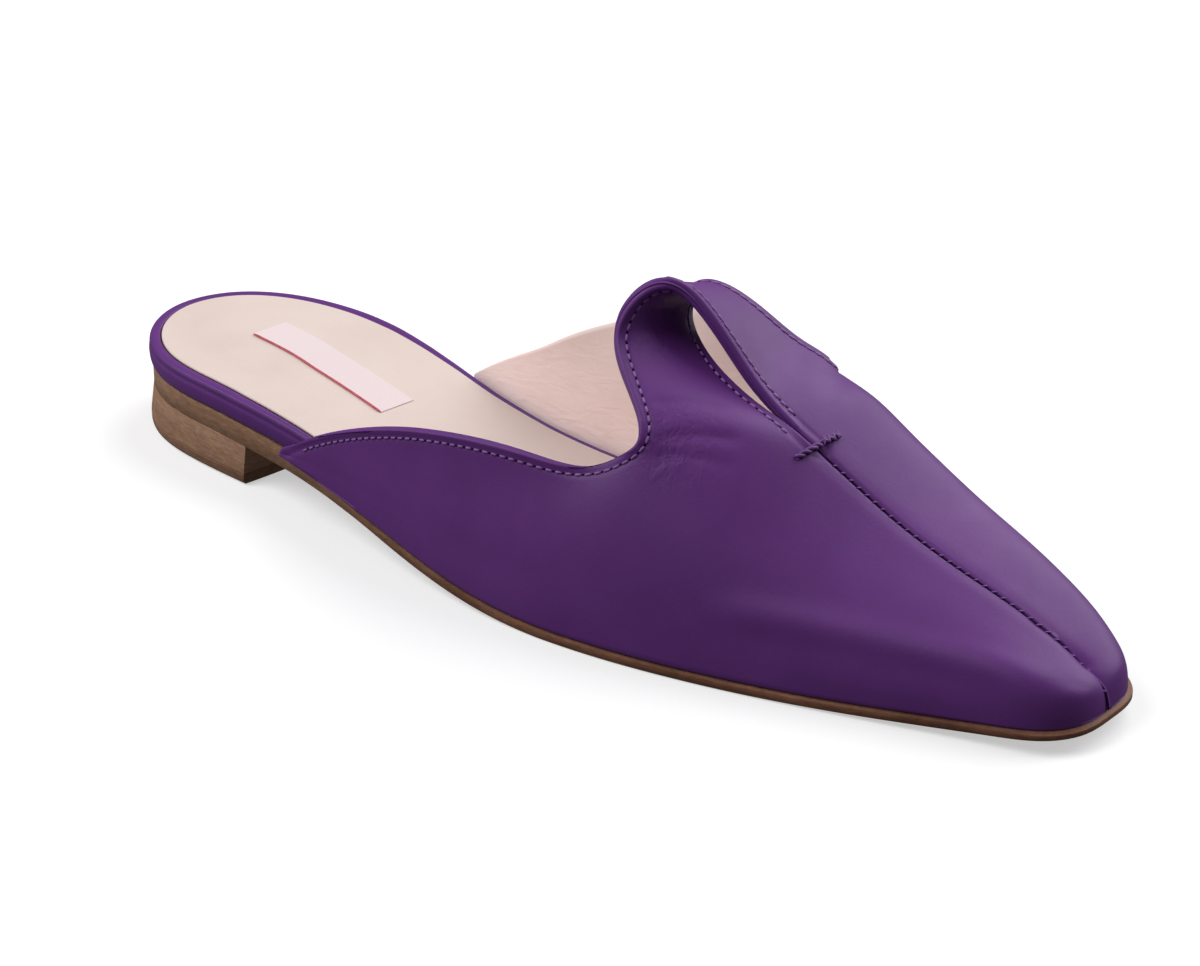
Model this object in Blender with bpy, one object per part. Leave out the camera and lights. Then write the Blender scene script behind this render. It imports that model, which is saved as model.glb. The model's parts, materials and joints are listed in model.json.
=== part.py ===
"""Flat mule for the right foot: hollow leather upper with a looped strap, insole, sock, outsole and heel.

Built in millimetres: the heel's back near x = 0, the toe at +X, the medial side at +Y, the floor at z = 0.
Then moved so that the origin is the middle of the footprint, and scaled to metres.
"""

import math

import bmesh
import bpy
import numpy as np

# Sizes in millimetres
MM = 0.001
GAP = 0.3
WALL = 2.0
STRAP = 2.6
SEAT_HEIGHT = 15.4
SEAT_END = 34.5
FLAT_START = 152.2
FLAT_END = 190.8
TOE_X = 265.0
TOE_SPRING = 4.46
OUTSOLE_FORE = 2.8
OUTSOLE_HEEL = 5.4
THIN_START = 50.0
THIN_END = 98.0
INSOLE_TOP = 5.4
SOCK_THICK = 0.8
SOCK_INSET = 2.3
LIFT_THICK = 2.5
BREAST_X = 50.5
BREAST_BOW = 2.5
STRAP_CROWN = 3.0
CROWN_WAY = (0.35, 0.0, 0.94)

# Shape of the upper's walls: shares of height and width, a bulge in millimetres, counts of columns
BULGE = 0.6
STRAP_DIP = -0.3
WING_WALL = 0.38
WING_LEAN = 0.7
WING_FADE = 6
TOE_FAN = 5
SEAM_SPREAD = 1.5
FEATHER_SPREAD = 1.2

# Looks: red, green, blue, roughness
LOOKS = {
    "upper": (0.115, 0.053, 0.165, 0.42),
    "insole": (0.098, 0.038, 0.141, 0.45),
    "sock": (0.85, 0.70, 0.66, 0.60),
    "outsole": (0.117, 0.063, 0.051, 0.50),
    "heel": (0.205, 0.114, 0.083, 0.50),
    "top_lift": (0.030, 0.018, 0.014, 0.65),
}
SHARP_ANGLE = 40.0

# Footprint of the insole band at the back and of the outsole in front: x, lateral y, medial y
OUTLINE = (
    (-1.0, -0.2, -0.2),
    (3.8, -14.8, 12.4),
    (16.8, -25.0, 21.4),
    (34.5, -28.8, 24.9),
    (66.3, -30.6, 23.6),
    (100.7, -36.0, 22.6),
    (132.5, -39.8, 27.0),
    (164.3, -37.7, 34.3),
    (196.1, -30.1, 36.9),
    (225.3, -20.6, 33.8),
    (249.1, -12.7, 27.5),
    (260.0, -7.9, 21.4),
    (264.0, -2.6, 15.6),
    (265.0, 6.4, 6.4),
)

# Insets from the footprint: x, upper's mid face, insole, outsole
INSETS = (
    (-1.0, -0.8, 0.0, 0.7),
    (50.0, -0.8, 0.0, 0.7),
    (62.0, -0.8, 0.5, 0.6),
    (72.0, -0.2, 1.2, 0.3),
    (86.0, 1.1, 2.5, 0.0),
    (104.0, 1.8, 3.3, 0.0),
    (180.0, 1.8, 3.4, 0.0),
    (235.0, 2.0, 3.6, 0.0),
    (265.0, 2.4, 4.1, 0.0),
)

# Centre seam from the toe's top edge back to the bar tack: x, y, z
SEAM = (
    (258.0, 6.6, 15.0),
    (252.5, 6.4, 17.0),
    (246.0, 6.1, 19.2),
    (238.0, 5.8, 21.9),
    (229.0, 5.5, 24.6),
    (218.0, 5.2, 28.2),
    (209.0, 5.0, 31.8),
    (201.0, 4.5, 36.0),
    (191.2, 3.5, 41.7),
)

# Vamp's cross-sections by place, 0 at the toe, 1 at the tack and 2 at the strap's foot:
# place, wall height share, top reach share, top slope in degrees
LATERAL_VAMP = (
    (0.00, 0.80, 0.62, 6.0),
    (0.15, 0.90, 0.64, 8.0),
    (0.35, 0.84, 0.60, 14.0),
    (0.60, 0.70, 0.54, 22.0),
    (1.00, 0.62, 0.46, 30.0),
    (2.00, 0.50, 0.55, 30.0),
)
MEDIAL_VAMP = (
    (0.00, 0.80, 0.62, 6.0),
    (0.15, 0.93, 0.68, 3.0),
    (0.35, 1.04, 0.76, -4.0),
    (0.60, 1.09, 0.82, -10.0),
    (1.00, 1.07, 0.80, -10.0),
    (2.00, 1.00, 0.75, -10.0),
)

# Strap from the lateral half over the loop to the medial half:
# turn (-1 lateral foot, 0 crest, 1 medial foot), edge A x, y, z, edge B x, y, z
LOOP = (
    (-1.00, 163.6, -22.5, 44.4, 191.2, 3.5, 41.7),
    (-0.90, 162.3, -20.4, 47.3, 186.6, 2.7, 43.9),
    (-0.80, 158.8, -18.0, 50.0, 181.1, 2.5, 45.6),
    (-0.60, 151.9, -14.1, 54.8, 171.4, 2.8, 49.0),
    (-0.40, 146.6, -9.9, 60.0, 160.2, 5.6, 52.4),
    (-0.25, 147.1, -7.5, 65.6, 151.7, 10.2, 54.9),
    (-0.10, 150.1, -3.9, 70.1, 146.5, 14.9, 58.4),
    (0.00, 153.0, -1.2, 71.2, 146.5, 18.2, 61.6),
    (0.10, 156.5, 1.0, 69.7, 150.2, 20.5, 62.2),
    (0.25, 162.3, 2.2, 64.5, 157.1, 23.2, 59.0),
    (0.40, 167.3, 2.5, 59.3, 162.1, 25.1, 55.4),
    (0.60, 174.1, 2.7, 52.3, 167.5, 27.5, 51.2),
    (0.80, 182.2, 3.1, 46.3, 172.5, 28.9, 48.9),
    (1.00, 191.2, 3.5, 41.7, 175.9, 30.3, 46.2),
)

# Toplines from the strap's foot back to the wing's tip: x, y, z
LATERAL_TOPLINE = (
    (163.6, -22.5, 44.4),
    (162.8, -22.8, 42.2),
    (161.1, -23.4, 40.2),
    (158.2, -24.4, 38.2),
    (154.4, -26.2, 37.1),
    (148.8, -28.4, 37.1),
    (141.0, -30.4, 37.9),
    (131.0, -32.0, 38.1),
    (119.0, -32.6, 36.6),
    (107.0, -32.6, 34.0),
    (96.0, -32.2, 30.4),
    (84.0, -31.4, 25.3),
    (75.0, -31.0, 20.7),
    (69.1, -30.9, 17.0),
    (66.2, -30.8, 15.0),
)
MEDIAL_TOPLINE = (
    (175.9, 30.3, 46.2),
    (174.0, 31.0, 45.2),
    (169.5, 31.2, 45.2),
    (163.0, 30.5, 46.8),
    (155.0, 29.8, 49.6),
    (146.0, 29.2, 51.2),
    (136.0, 28.6, 50.6),
    (126.0, 27.9, 46.5),
    (116.3, 26.6, 41.2),
    (107.0, 23.9, 37.0),
    (98.7, 22.6, 31.4),
    (89.0, 22.6, 25.9),
    (81.5, 23.2, 21.1),
    (76.0, 23.7, 17.0),
)

# Feather line's places under the toe, the tack, the strap's foot and the wing's tip: x
LATERAL_FEET = (TOE_X, 197.0, 160.0, 65.2)
MEDIAL_FEET = (TOE_X, 199.0, 170.0, 75.5)

# Mesh counts
TOE_COLUMNS = 20
STRAP_COLUMNS = 7
WING_COLUMNS = 16
HALF_ROWS = 10
LOOP_ROWS = 34
RELAX_ROUNDS = 5
DENSE = 600
ACROSS = 4
HEEL_PLACES = 13

# Shares of the sole's length between which its sections are even: start, end, count
SOLE_STRETCHES = (
    (0.0, 0.14, 9),
    (0.14, 0.86, 19),
    (0.86, 1.0, 13),
)


def spline(knots, values, at):
    """Natural cubic spline through the rows of values, read at the places in at."""
    knots = np.asarray(knots, float)
    values = np.asarray(values, float).reshape(len(knots), -1)
    step = np.diff(knots)[:, None]
    slope = np.diff(values, axis=0) / step
    system = np.eye(len(knots))
    load = np.zeros_like(values)
    for i in range(1, len(knots) - 1):
        system[i, i - 1 : i + 2] = step[i - 1, 0], 2 * (step[i - 1, 0] + step[i, 0]), step[i, 0]
        load[i] = 6 * (slope[i] - slope[i - 1])
    bend = np.linalg.solve(system, load)
    at = np.atleast_1d(np.asarray(at, float))
    i = np.clip(np.searchsorted(knots, at) - 1, 0, len(knots) - 2)
    before = (at - knots[i])[:, None]
    after = (knots[i + 1] - at)[:, None]
    width = step[i]
    return (
        (bend[i] * after**3 + bend[i + 1] * before**3) / (6 * width)
        + (values[i] / width - bend[i] * width / 6) * after
        + (values[i + 1] / width - bend[i + 1] * width / 6) * before
    )


def run_of(points):
    """Length along a path at each of its points."""
    return np.concatenate([[0.0], np.cumsum(np.linalg.norm(np.diff(points, axis=0), axis=1))])


def path(points, shares):
    """Smooth path through points, read at shares of its length."""
    run = run_of(np.asarray(points, float))
    return spline(run, points, np.asarray(shares) * run[-1])


def smooth(t):
    t = np.clip(t, 0, 1)
    return t * t * (3 - 2 * t)


def unit(v):
    return v / np.maximum(np.linalg.norm(v, axis=-1, keepdims=True), 1e-12)


def sole_top(x):
    """Height of the outsole's upper face."""
    rise = 1 - smooth((x - SEAT_END) / (FLAT_START - SEAT_END))
    spring = np.clip((x - FLAT_END) / (TOE_X - FLAT_END), 0, None) ** 2
    return OUTSOLE_FORE + (SEAT_HEIGHT - OUTSOLE_FORE) * rise + TOE_SPRING * spring


def sole_low(x):
    """Height of the outsole's lower face, thicker over the heel."""
    thin = smooth((x - THIN_START) / (THIN_END - THIN_START))
    return sole_top(x) - OUTSOLE_HEEL + (OUTSOLE_HEEL - OUTSOLE_FORE) * thin


def inset_of(column):
    table = np.array(INSETS)
    return lambda x: np.interp(x, table[:, 0], table[:, column])


def outline_sides():
    """Dense lateral and medial halves of the footprint, heel to toe, with their outward directions."""
    rows = np.array(OUTLINE)
    ring = np.vstack([rows[:, [0, 1]], rows[-2:0:-1, [0, 2]]])
    wrap = 4
    wrapped = np.vstack([ring[-wrap:], ring, ring[: wrap + 1]])
    run = run_of(wrapped)
    heel, toe, again = run[wrap], run[wrap + len(rows) - 1], run[wrap + len(ring)]
    sides = {}
    for side, start, end in ((-1, heel, toe), (1, again, toe)):
        points = spline(run, wrapped, np.linspace(start, end, DENSE))
        ahead = unit(np.gradient(points, axis=0))
        outward = np.stack([-ahead[:, 1], ahead[:, 0]], axis=1) * side
        sides[side] = (points, outward)
    return sides


SIDES = outline_sides()


def edge(side, inset):
    """One side of the footprint, heel to toe, moved in by inset(x)."""
    points, outward = SIDES[side]
    return points - outward * np.asarray(inset(points[:, 0]))[:, None]


def read(points, shares):
    """A dense path at shares of its length."""
    run = run_of(points)
    at = np.asarray(shares) * run[-1]
    return np.stack([np.interp(at, run, column) for column in points.T], axis=1)


def share_at(points, x):
    """Share of a dense heel-to-toe path's length where it reaches x."""
    run = run_of(points)
    return np.interp(x, points[:, 0], run / run[-1])


def rails(inset, places, end=None):
    """Paired lateral and medial edge points, heel to toe, or heel to the breast at x = end."""
    pair = []
    for side in (-1, 1):
        line = edge(side, inset)
        top = 1.0 if end is None else share_at(line, end)
        pair.append(read(line, places * top))
    return pair


def deck(pair, height, open_end):
    """A face from edge to edge as rows of points, each row one pair; the heel's end is one point."""
    lateral, medial = pair
    rows = [[(lateral[0] + medial[0]) / 2]]
    last = len(lateral) - 1
    for k in range(1, last + 1):
        if k == last and not open_end:
            rows.append([(lateral[k] + medial[k]) / 2])
            continue
        shares = np.linspace(0, 1, ACROSS + 1)
        row = lateral[k] + (medial[k] - lateral[k]) * shares[:, None]
        if open_end:
            row[:, 0] += BREAST_BOW * (k / last) ** 2 * (1 - (2 * shares - 1) ** 2)
        rows.append(list(row))
    return [[(p[0], p[1], float(height(p[0]))) for p in row] for row in rows]


def rim_of(rows):
    """A deck's boundary, as (row, place) pairs in order."""
    last = len(rows) - 1
    there = [(k, 0) for k in range(last)]
    over = [(last, j) for j in range(len(rows[last]))]
    back = [(k, len(rows[k]) - 1) for k in range(last - 1, 0, -1)]
    return there + over + back


class Mesh:
    def __init__(self):
        self.points = []
        self.faces = []

    def add(self, point):
        self.points.append(tuple(float(c) for c in point))
        return len(self.points) - 1

    def deck(self, rows):
        """Fills a deck and returns the indices of its rim."""
        index = [[self.add(p) for p in row] for row in rows]
        for low, high in zip(index, index[1:]):
            for j in range(max(len(low), len(high)) - 1):
                a, b = low[min(j, len(low) - 1)], low[min(j + 1, len(low) - 1)]
                c, d = high[min(j + 1, len(high) - 1)], high[min(j, len(high) - 1)]
                self.faces.append(tuple(dict.fromkeys((a, b, c, d))))
        return [index[k][j] for k, j in rim_of(rows)]

    def band(self, first, second):
        for k in range(len(first)):
            n = (k + 1) % len(first)
            self.faces.append((first[k], first[n], second[n], second[k]))


def paint(name):
    *colour, rough = LOOKS[name]
    skin = bpy.data.materials.new(name)
    skin.use_nodes = True
    shader = skin.node_tree.nodes["Principled BSDF"]
    shader.inputs["Base Color"].default_value = (*colour, 1.0)
    shader.inputs["Roughness"].default_value = rough
    shader.inputs["Metallic"].default_value = 0.0
    return skin


def build(name, points, faces, shift):
    data = bpy.data.meshes.new(name)
    data.from_pydata(((np.asarray(points, float) - shift) * MM).tolist(), [], faces)
    skin = bmesh.new()
    skin.from_mesh(data)
    bmesh.ops.recalc_face_normals(skin, faces=skin.faces)
    skin.to_mesh(data)
    skin.free()
    data.shade_smooth()
    data.set_sharp_from_angle(angle=math.radians(SHARP_ANGLE))
    data.materials.append(paint(name))
    bpy.context.scene.collection.objects.link(bpy.data.objects.new(name, data))


def slab(levels, places, end=None):
    """A solid between the first and the last of its levels, each an (inset, height) pair of functions."""
    mesh = Mesh()
    rims = []
    for i, (inset, height) in enumerate(levels):
        rows = deck(rails(inset, places, end), height, end is not None)
        if i in (0, len(levels) - 1):
            rims.append(mesh.deck(rows))
        else:
            rims.append([mesh.add(rows[k][j]) for k, j in rim_of(rows)])
    for low, high in zip(rims, rims[1:]):
        mesh.band(low, high)
    return mesh.points, mesh.faces


def plus(function, amount):
    return lambda x: function(x) + amount


def level(z):
    return lambda x: x * 0 + z


def bezier(a, b, c, d, count):
    t = np.linspace(0, 1, count + 1)[:, None]
    return (1 - t) ** 3 * a + 3 * (1 - t) ** 2 * t * b + 3 * (1 - t) * t * t * c + t**3 * d


def loop_grid(rows):
    """The strap's mid face: rows from the lateral half over the crest to the medial half, A to B."""
    table = np.array(LOOP)
    turns = np.linspace(-1, 1, rows + 1)
    edge_a = spline(table[:, 0], table[:, 1:4], turns)
    edge_b = spline(table[:, 0], table[:, 4:7], turns)
    shares = np.linspace(0, 1, STRAP_COLUMNS + 1)[None, :, None]
    crown = STRAP_CROWN * smooth(2 * np.abs(turns) - 1)[:, None, None] * (1 - (2 * shares - 1) ** 2)
    return edge_a[:, None] + (edge_b - edge_a)[:, None] * shares + crown * np.array(CROWN_WAY)


def half_grid(side, loop):
    """One half of the upper's mid face: columns from the toe to the wing's tip, rows from the feather up."""
    lateral = (LATERAL_FEET, LATERAL_TOPLINE, LATERAL_VAMP)
    medial = (MEDIAL_FEET, MEDIAL_TOPLINE, MEDIAL_VAMP)
    feet_x, topline, vamp = lateral if side < 0 else medial
    vamp = np.array(vamp)
    feather = edge(side, inset_of(1))
    ahead = unit(np.gradient(feather, axis=0))
    outward = np.stack([-ahead[:, 1], ahead[:, 0]], axis=1) * side

    # Top ends: seam, strap's foot, topline
    along_toe = np.linspace(0, 1, TOE_COLUMNS + 1)
    seam = path(SEAM, along_toe**SEAM_SPREAD)
    foot_row, next_row = (loop[0][::-1], loop[1][::-1]) if side < 0 else (loop[-1], loop[-2])
    wing = path(topline, np.linspace(0, 1, WING_COLUMNS + 1))
    top = np.vstack([seam[:-1], foot_row, wing[1:]])
    tack, deep, tip = TOE_COLUMNS, TOE_COLUMNS + STRAP_COLUMNS, len(top) - 1

    # Feather ends: shares of the outline under the same columns
    marks = [share_at(feather, x) for x in feet_x]
    marks[0] = 1.0
    shares = np.empty(tip + 1)
    shares[: tack + 1] = marks[0] + (marks[1] - marks[0]) * along_toe**FEATHER_SPREAD
    shares[tack : deep + 1] = np.linspace(marks[1], marks[2], STRAP_COLUMNS + 1)
    wing_run = run_of(wing)
    shares[deep:] = marks[2] + (marks[3] - marks[2]) * wing_run / wing_run[-1]
    feet = read(feather, shares)
    leaning = unit(read(outward, shares))
    feet = np.column_stack([feet, sole_top(feet[:, 0]) + GAP])
    leaning = np.column_stack([leaning, np.zeros(tip + 1)])

    facing = unit(np.cross(np.gradient(foot_row, axis=0), foot_row - next_row))
    sideways = np.array([0, side, STRAP_DIP])
    strap_way = unit(sideways - (facing @ sideways)[:, None] * facing)
    grid = np.empty((tip + 1, HALF_ROWS + 1, 3))
    for c in range(tip + 1):
        foot, head = feet[c], top[c]
        height = head[2] - foot[2]
        width = np.linalg.norm(head[:2] - foot[:2])
        place = min(c / tack, 1.0) + min(max(c - tack, 0) / STRAP_COLUMNS, 1.0)
        wall, reach, slope = (np.interp(place, vamp[:, 0], vamp[:, k]) for k in (1, 2, 3))
        slope = math.radians(slope)
        swing = math.radians(90) * min(1.0, c / TOE_FAN)
        over = np.array([math.cos(swing), side * math.sin(swing) * math.cos(slope), -math.sin(slope)])
        if tack < c <= deep:
            blend = smooth((c - tack) / STRAP_COLUMNS)
            over = unit(unit(over) * (1 - blend) + strap_way[c - tack] * blend)
        if c > deep:
            blend = smooth((c - deep) / WING_FADE)
            drop = unit(foot - head)
            over = unit(strap_way[-1] * (1 - blend) + drop * blend)
            wall = wall + (WING_WALL - wall) * blend
            width = width + (height * WING_LEAN - width) * blend
        near_foot = foot + np.array([0, 0, wall * height]) + leaning[c] * BULGE
        near_head = head + unit(over) * reach * width
        grid[c] = bezier(foot, near_foot, near_head, head, HALF_ROWS)
    return grid


def sheet():
    """The upper's mid face as welded points and four-sided faces, with each point's wall thickness."""
    loop = loop_grid(LOOP_ROWS)
    grids = [half_grid(-1, loop), half_grid(1, loop), loop]
    points, faces, thick = [], [], []
    for kind, grid in enumerate(grids):
        start = len(points)
        rows, columns = grid.shape[:2]
        points.extend(grid.reshape(-1, 3))
        for i in range(rows):
            turn = abs(2 * i / (rows - 1) - 1)
            thick.extend([WALL if kind < 2 else WALL + (STRAP - WALL) * smooth(4 * (1 - turn))] * columns)
        for i in range(rows - 1):
            for j in range(columns - 1):
                a = start + i * columns + j
                faces.append((a, a + columns, a + columns + 1, a + 1))
    points = np.array(points)
    _, first, index = np.unique(np.round(points, 3), axis=0, return_index=True, return_inverse=True)
    index = index.reshape(-1)
    points = points[first]
    faces = [tuple(index[list(face)]) for face in faces]
    return points, faces, np.array(thick)[first]


def edges_of(faces):
    """How many faces share each edge."""
    shared = {}
    for face in faces:
        for a, b in zip(face, face[1:] + face[:1]):
            key = (min(a, b), max(a, b))
            shared[key] = shared.get(key, 0) + 1
    return shared


def relaxed(points, faces, held, rounds):
    """Points drawn towards their neighbours' middle, apart from those held."""
    shared = edges_of(faces)
    ends = np.array(list(shared))
    count = np.bincount(ends.reshape(-1), minlength=len(points))[:, None]
    free = np.ones(len(points), bool)
    free[list(held)] = False
    for _ in range(rounds):
        total = np.zeros_like(points)
        np.add.at(total, ends[:, 0], points[ends[:, 1]])
        np.add.at(total, ends[:, 1], points[ends[:, 0]])
        points = np.where(free[:, None], (points + total / count) / 2, points)
    return points


def thicken(points, faces, thick, low, high):
    """A closed skin from low to high, shares of the wall, about a mid face that may turn over on itself."""
    corners = points[np.array(faces)]
    facing = unit(np.cross(corners[:, 2] - corners[:, 0], corners[:, 3] - corners[:, 1]))
    normal = np.zeros_like(points)
    for face, direction in zip(faces, facing):
        for v in face:
            same = 1.0 if normal[v] @ direction >= 0 else -1.0
            normal[v] += direction * same
    normal = unit(normal)
    outer = points + normal * (thick * high)[:, None]
    inner = points + normal * (thick * low)[:, None]
    count = len(points)
    solid = []
    shared = edges_of(faces)
    for face, direction in zip(faces, facing):
        up = [v + (0 if normal[v] @ direction > 0 else count) for v in face]
        down = [v + count if u < count else v for u, v in zip(up, face)]
        solid.append(tuple(up))
        solid.append(tuple(reversed(down)))
        for k in range(4):
            n = (k + 1) % 4
            if shared[(min(face[k], face[n]), max(face[k], face[n]))] == 1:
                solid.append((up[n], up[k], down[k], down[n]))
    return np.vstack([outer, inner]), solid


def upper_mesh():
    points, faces, thick = sheet()
    rim = {v for edge_ends, count in edges_of(faces).items() if count == 1 for v in edge_ends}
    seam = path(SEAM, np.linspace(0, 1, TOE_COLUMNS + 1) ** SEAM_SPREAD)
    on_seam = {int(np.argmin(np.linalg.norm(points - p, axis=1))) for p in seam}
    by_sole = set(np.flatnonzero(points[:, 2] - sole_top(points[:, 0]) < INSOLE_TOP + SOCK_THICK))
    points = relaxed(points, faces, rim | on_seam | by_sole, RELAX_ROUNDS)
    return thicken(points, faces, thick, -0.5, 0.5)


def main():
    for obj in list(bpy.data.objects):
        bpy.data.objects.remove(obj)

    places = np.concatenate([np.linspace(*stretch) for stretch in SOLE_STRETCHES])
    places = np.unique(np.round(places, 6))
    heel_places = np.linspace(0, 1, HEEL_PLACES)
    insole, outsole = inset_of(2), inset_of(3)
    insole_mid = (GAP + INSOLE_TOP) / 2
    sock_low, sock_high = INSOLE_TOP + GAP, INSOLE_TOP + GAP + SOCK_THICK
    heel_foot = level(LIFT_THICK + GAP)
    solids = {
        "upper": upper_mesh(),
        "insole": slab(
            [
                (plus(insole, 0.9), plus(sole_top, GAP)),
                (plus(insole, 0.1), plus(sole_top, GAP + 1.1)),
                (insole, plus(sole_top, insole_mid)),
                (plus(insole, 0.3), plus(sole_top, INSOLE_TOP - 1.1)),
                (plus(insole, 1.3), plus(sole_top, INSOLE_TOP)),
            ],
            places,
        ),
        "sock": slab(
            [
                (plus(insole, SOCK_INSET), plus(sole_top, sock_low)),
                (plus(insole, SOCK_INSET), plus(sole_top, sock_high)),
            ],
            places,
        ),
        "outsole": slab(
            [
                (plus(outsole, 0.4), sole_low),
                (outsole, plus(sole_low, 0.5)),
                (outsole, plus(sole_top, -0.4)),
                (plus(outsole, 0.3), sole_top),
            ],
            places,
        ),
        "heel": slab(
            [
                (level(-0.4), heel_foot),
                (level(0.7), plus(sole_low, -GAP)),
            ],
            heel_places,
            BREAST_X,
        ),
        "top_lift": slab(
            [
                (level(0.0), level(0.0)),
                (level(-0.4), level(0.4)),
                (level(-0.4), level(LIFT_THICK)),
            ],
            heel_places,
            BREAST_X,
        ),
    }
    cloud = np.vstack([points for points, _ in solids.values()])
    low, high = cloud.min(axis=0), cloud.max(axis=0)
    shift = np.array([(low[0] + high[0]) / 2, (low[1] + high[1]) / 2, low[2]])
    for name, (points, faces) in solids.items():
        build(name, points, faces, shift)


main()
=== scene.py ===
"""Looks of the flat mule.

A smooth purple leather upper with a looped strap, its lining, stitches and bar tack, a padded insole band,
a pale sock, a thin leather outsole and a low stacked heel. Shapes are worked out in millimetres in the
shoe's own frame (heel near x = 0, toe at +X, medial side at +Y, floor at z = 0) and moved into the row's
frame in metres.
"""

import json
import math

import bpy
import numpy as np
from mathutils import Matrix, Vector
from mathutils.bvhtree import BVHTree
from mathutils.kdtree import KDTree

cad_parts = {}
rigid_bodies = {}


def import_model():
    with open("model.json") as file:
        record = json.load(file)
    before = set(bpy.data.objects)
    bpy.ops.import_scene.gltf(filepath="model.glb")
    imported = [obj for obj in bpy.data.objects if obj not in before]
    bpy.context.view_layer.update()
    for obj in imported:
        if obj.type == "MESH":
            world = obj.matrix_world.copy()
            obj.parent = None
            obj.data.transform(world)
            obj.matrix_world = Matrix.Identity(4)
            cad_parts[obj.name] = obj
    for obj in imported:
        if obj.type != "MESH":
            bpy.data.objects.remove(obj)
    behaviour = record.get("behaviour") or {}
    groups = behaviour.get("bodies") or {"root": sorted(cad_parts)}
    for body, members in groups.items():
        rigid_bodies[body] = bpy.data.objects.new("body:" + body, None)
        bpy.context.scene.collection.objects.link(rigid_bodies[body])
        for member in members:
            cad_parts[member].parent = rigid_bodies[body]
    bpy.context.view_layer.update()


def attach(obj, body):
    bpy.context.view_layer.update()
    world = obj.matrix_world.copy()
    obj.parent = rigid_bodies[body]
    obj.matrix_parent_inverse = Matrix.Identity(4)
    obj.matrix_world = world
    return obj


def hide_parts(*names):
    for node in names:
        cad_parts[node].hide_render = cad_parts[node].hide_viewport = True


# The row's origin in the shoe's own frame, and the unit
ORIGIN = np.array([131.8, -1.43877, 0.0])
MM = 0.001

# Sizes in millimetres
GAP = 0.3
WALL = 2.0
STRAP = 2.6
SEAT_HEIGHT = 15.4
SEAT_END = 34.5
FLAT_START = 152.2
FLAT_END = 190.8
TOE_X = 265.0
TOE_SPRING = 3.9
OUTSOLE_FORE = 2.8
OUTSOLE_HEEL = 5.4
THIN_START = 50.0
THIN_END = 98.0
INSOLE_TOP = 5.4
SOCK_THICK = 0.8
LIFT_THICK = 2.5
BREAST_X = 50.5
BREAST_BOW = 2.5
STRAP_CROWN = 3.0
CROWN_WAY = (0.35, 0.0, 0.94)

# Shape of the upper's walls: shares of height and width, a bulge in millimetres, counts of columns
BULGE = 0.6
STRAP_DIP = -0.3
WING_WALL = 0.38
WING_LEAN = 0.7
WING_FADE = 6
TOE_FAN = 5
SEAM_SPREAD = 1.5
FEATHER_SPREAD = 1.2

# Footprint of the insole band at the back and of the outsole in front: x, lateral y, medial y
OUTLINE = (
    (-1.0, -0.2, -0.2),
    (3.8, -14.8, 12.4),
    (16.8, -25.0, 21.4),
    (34.5, -28.8, 24.9),
    (66.3, -30.6, 23.6),
    (100.7, -36.0, 22.6),
    (132.5, -39.8, 27.0),
    (164.3, -37.7, 34.3),
    (196.1, -30.1, 36.9),
    (225.3, -20.6, 33.8),
    (249.1, -12.7, 27.5),
    (260.0, -7.9, 21.4),
    (264.0, -2.6, 15.6),
    (265.0, 6.4, 6.4),
)

# Insets from the footprint: x, upper's mid face, insole, outsole
INSETS = (
    (-1.0, -0.8, 0.0, 0.7),
    (50.0, -0.8, 0.0, 0.7),
    (62.0, -0.8, 0.5, 0.6),
    (72.0, -0.2, 1.2, 0.3),
    (86.0, 1.1, 2.5, 0.0),
    (104.0, 1.8, 3.3, 0.0),
    (180.0, 1.8, 3.4, 0.0),
    (235.0, 2.0, 3.6, 0.0),
    (265.0, 2.4, 4.1, 0.0),
)

# Centre seam from the toe's top edge back to the bar tack: x, y, z
SEAM = (
    (257.4, 6.6, 12.8),
    (252.6, 6.4, 15.8),
    (246.0, 6.1, 19.0),
    (238.0, 5.8, 21.9),
    (229.0, 5.5, 24.6),
    (218.0, 5.2, 28.2),
    (209.0, 5.0, 31.8),
    (201.0, 4.5, 36.0),
    (191.2, 3.5, 41.7),
)

# Vamp's cross-sections by place, 0 at the toe, 1 at the tack and 2 at the strap's foot:
# place, wall height share, top reach share, top slope in degrees
LATERAL_VAMP = (
    (0.00, 0.50, 0.45, 38.0),
    (0.05, 0.74, 0.57, 18.0),
    (0.15, 0.90, 0.64, 8.0),
    (0.35, 0.84, 0.60, 14.0),
    (0.60, 0.70, 0.54, 22.0),
    (1.00, 0.62, 0.46, 30.0),
    (2.00, 0.50, 0.55, 30.0),
)
MEDIAL_VAMP = (
    (0.00, 0.50, 0.45, 38.0),
    (0.05, 0.74, 0.58, 16.0),
    (0.15, 0.93, 0.68, 3.0),
    (0.35, 1.04, 0.76, -4.0),
    (0.60, 1.09, 0.82, -10.0),
    (1.00, 1.07, 0.80, -10.0),
    (2.00, 1.00, 0.75, -10.0),
)

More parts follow.
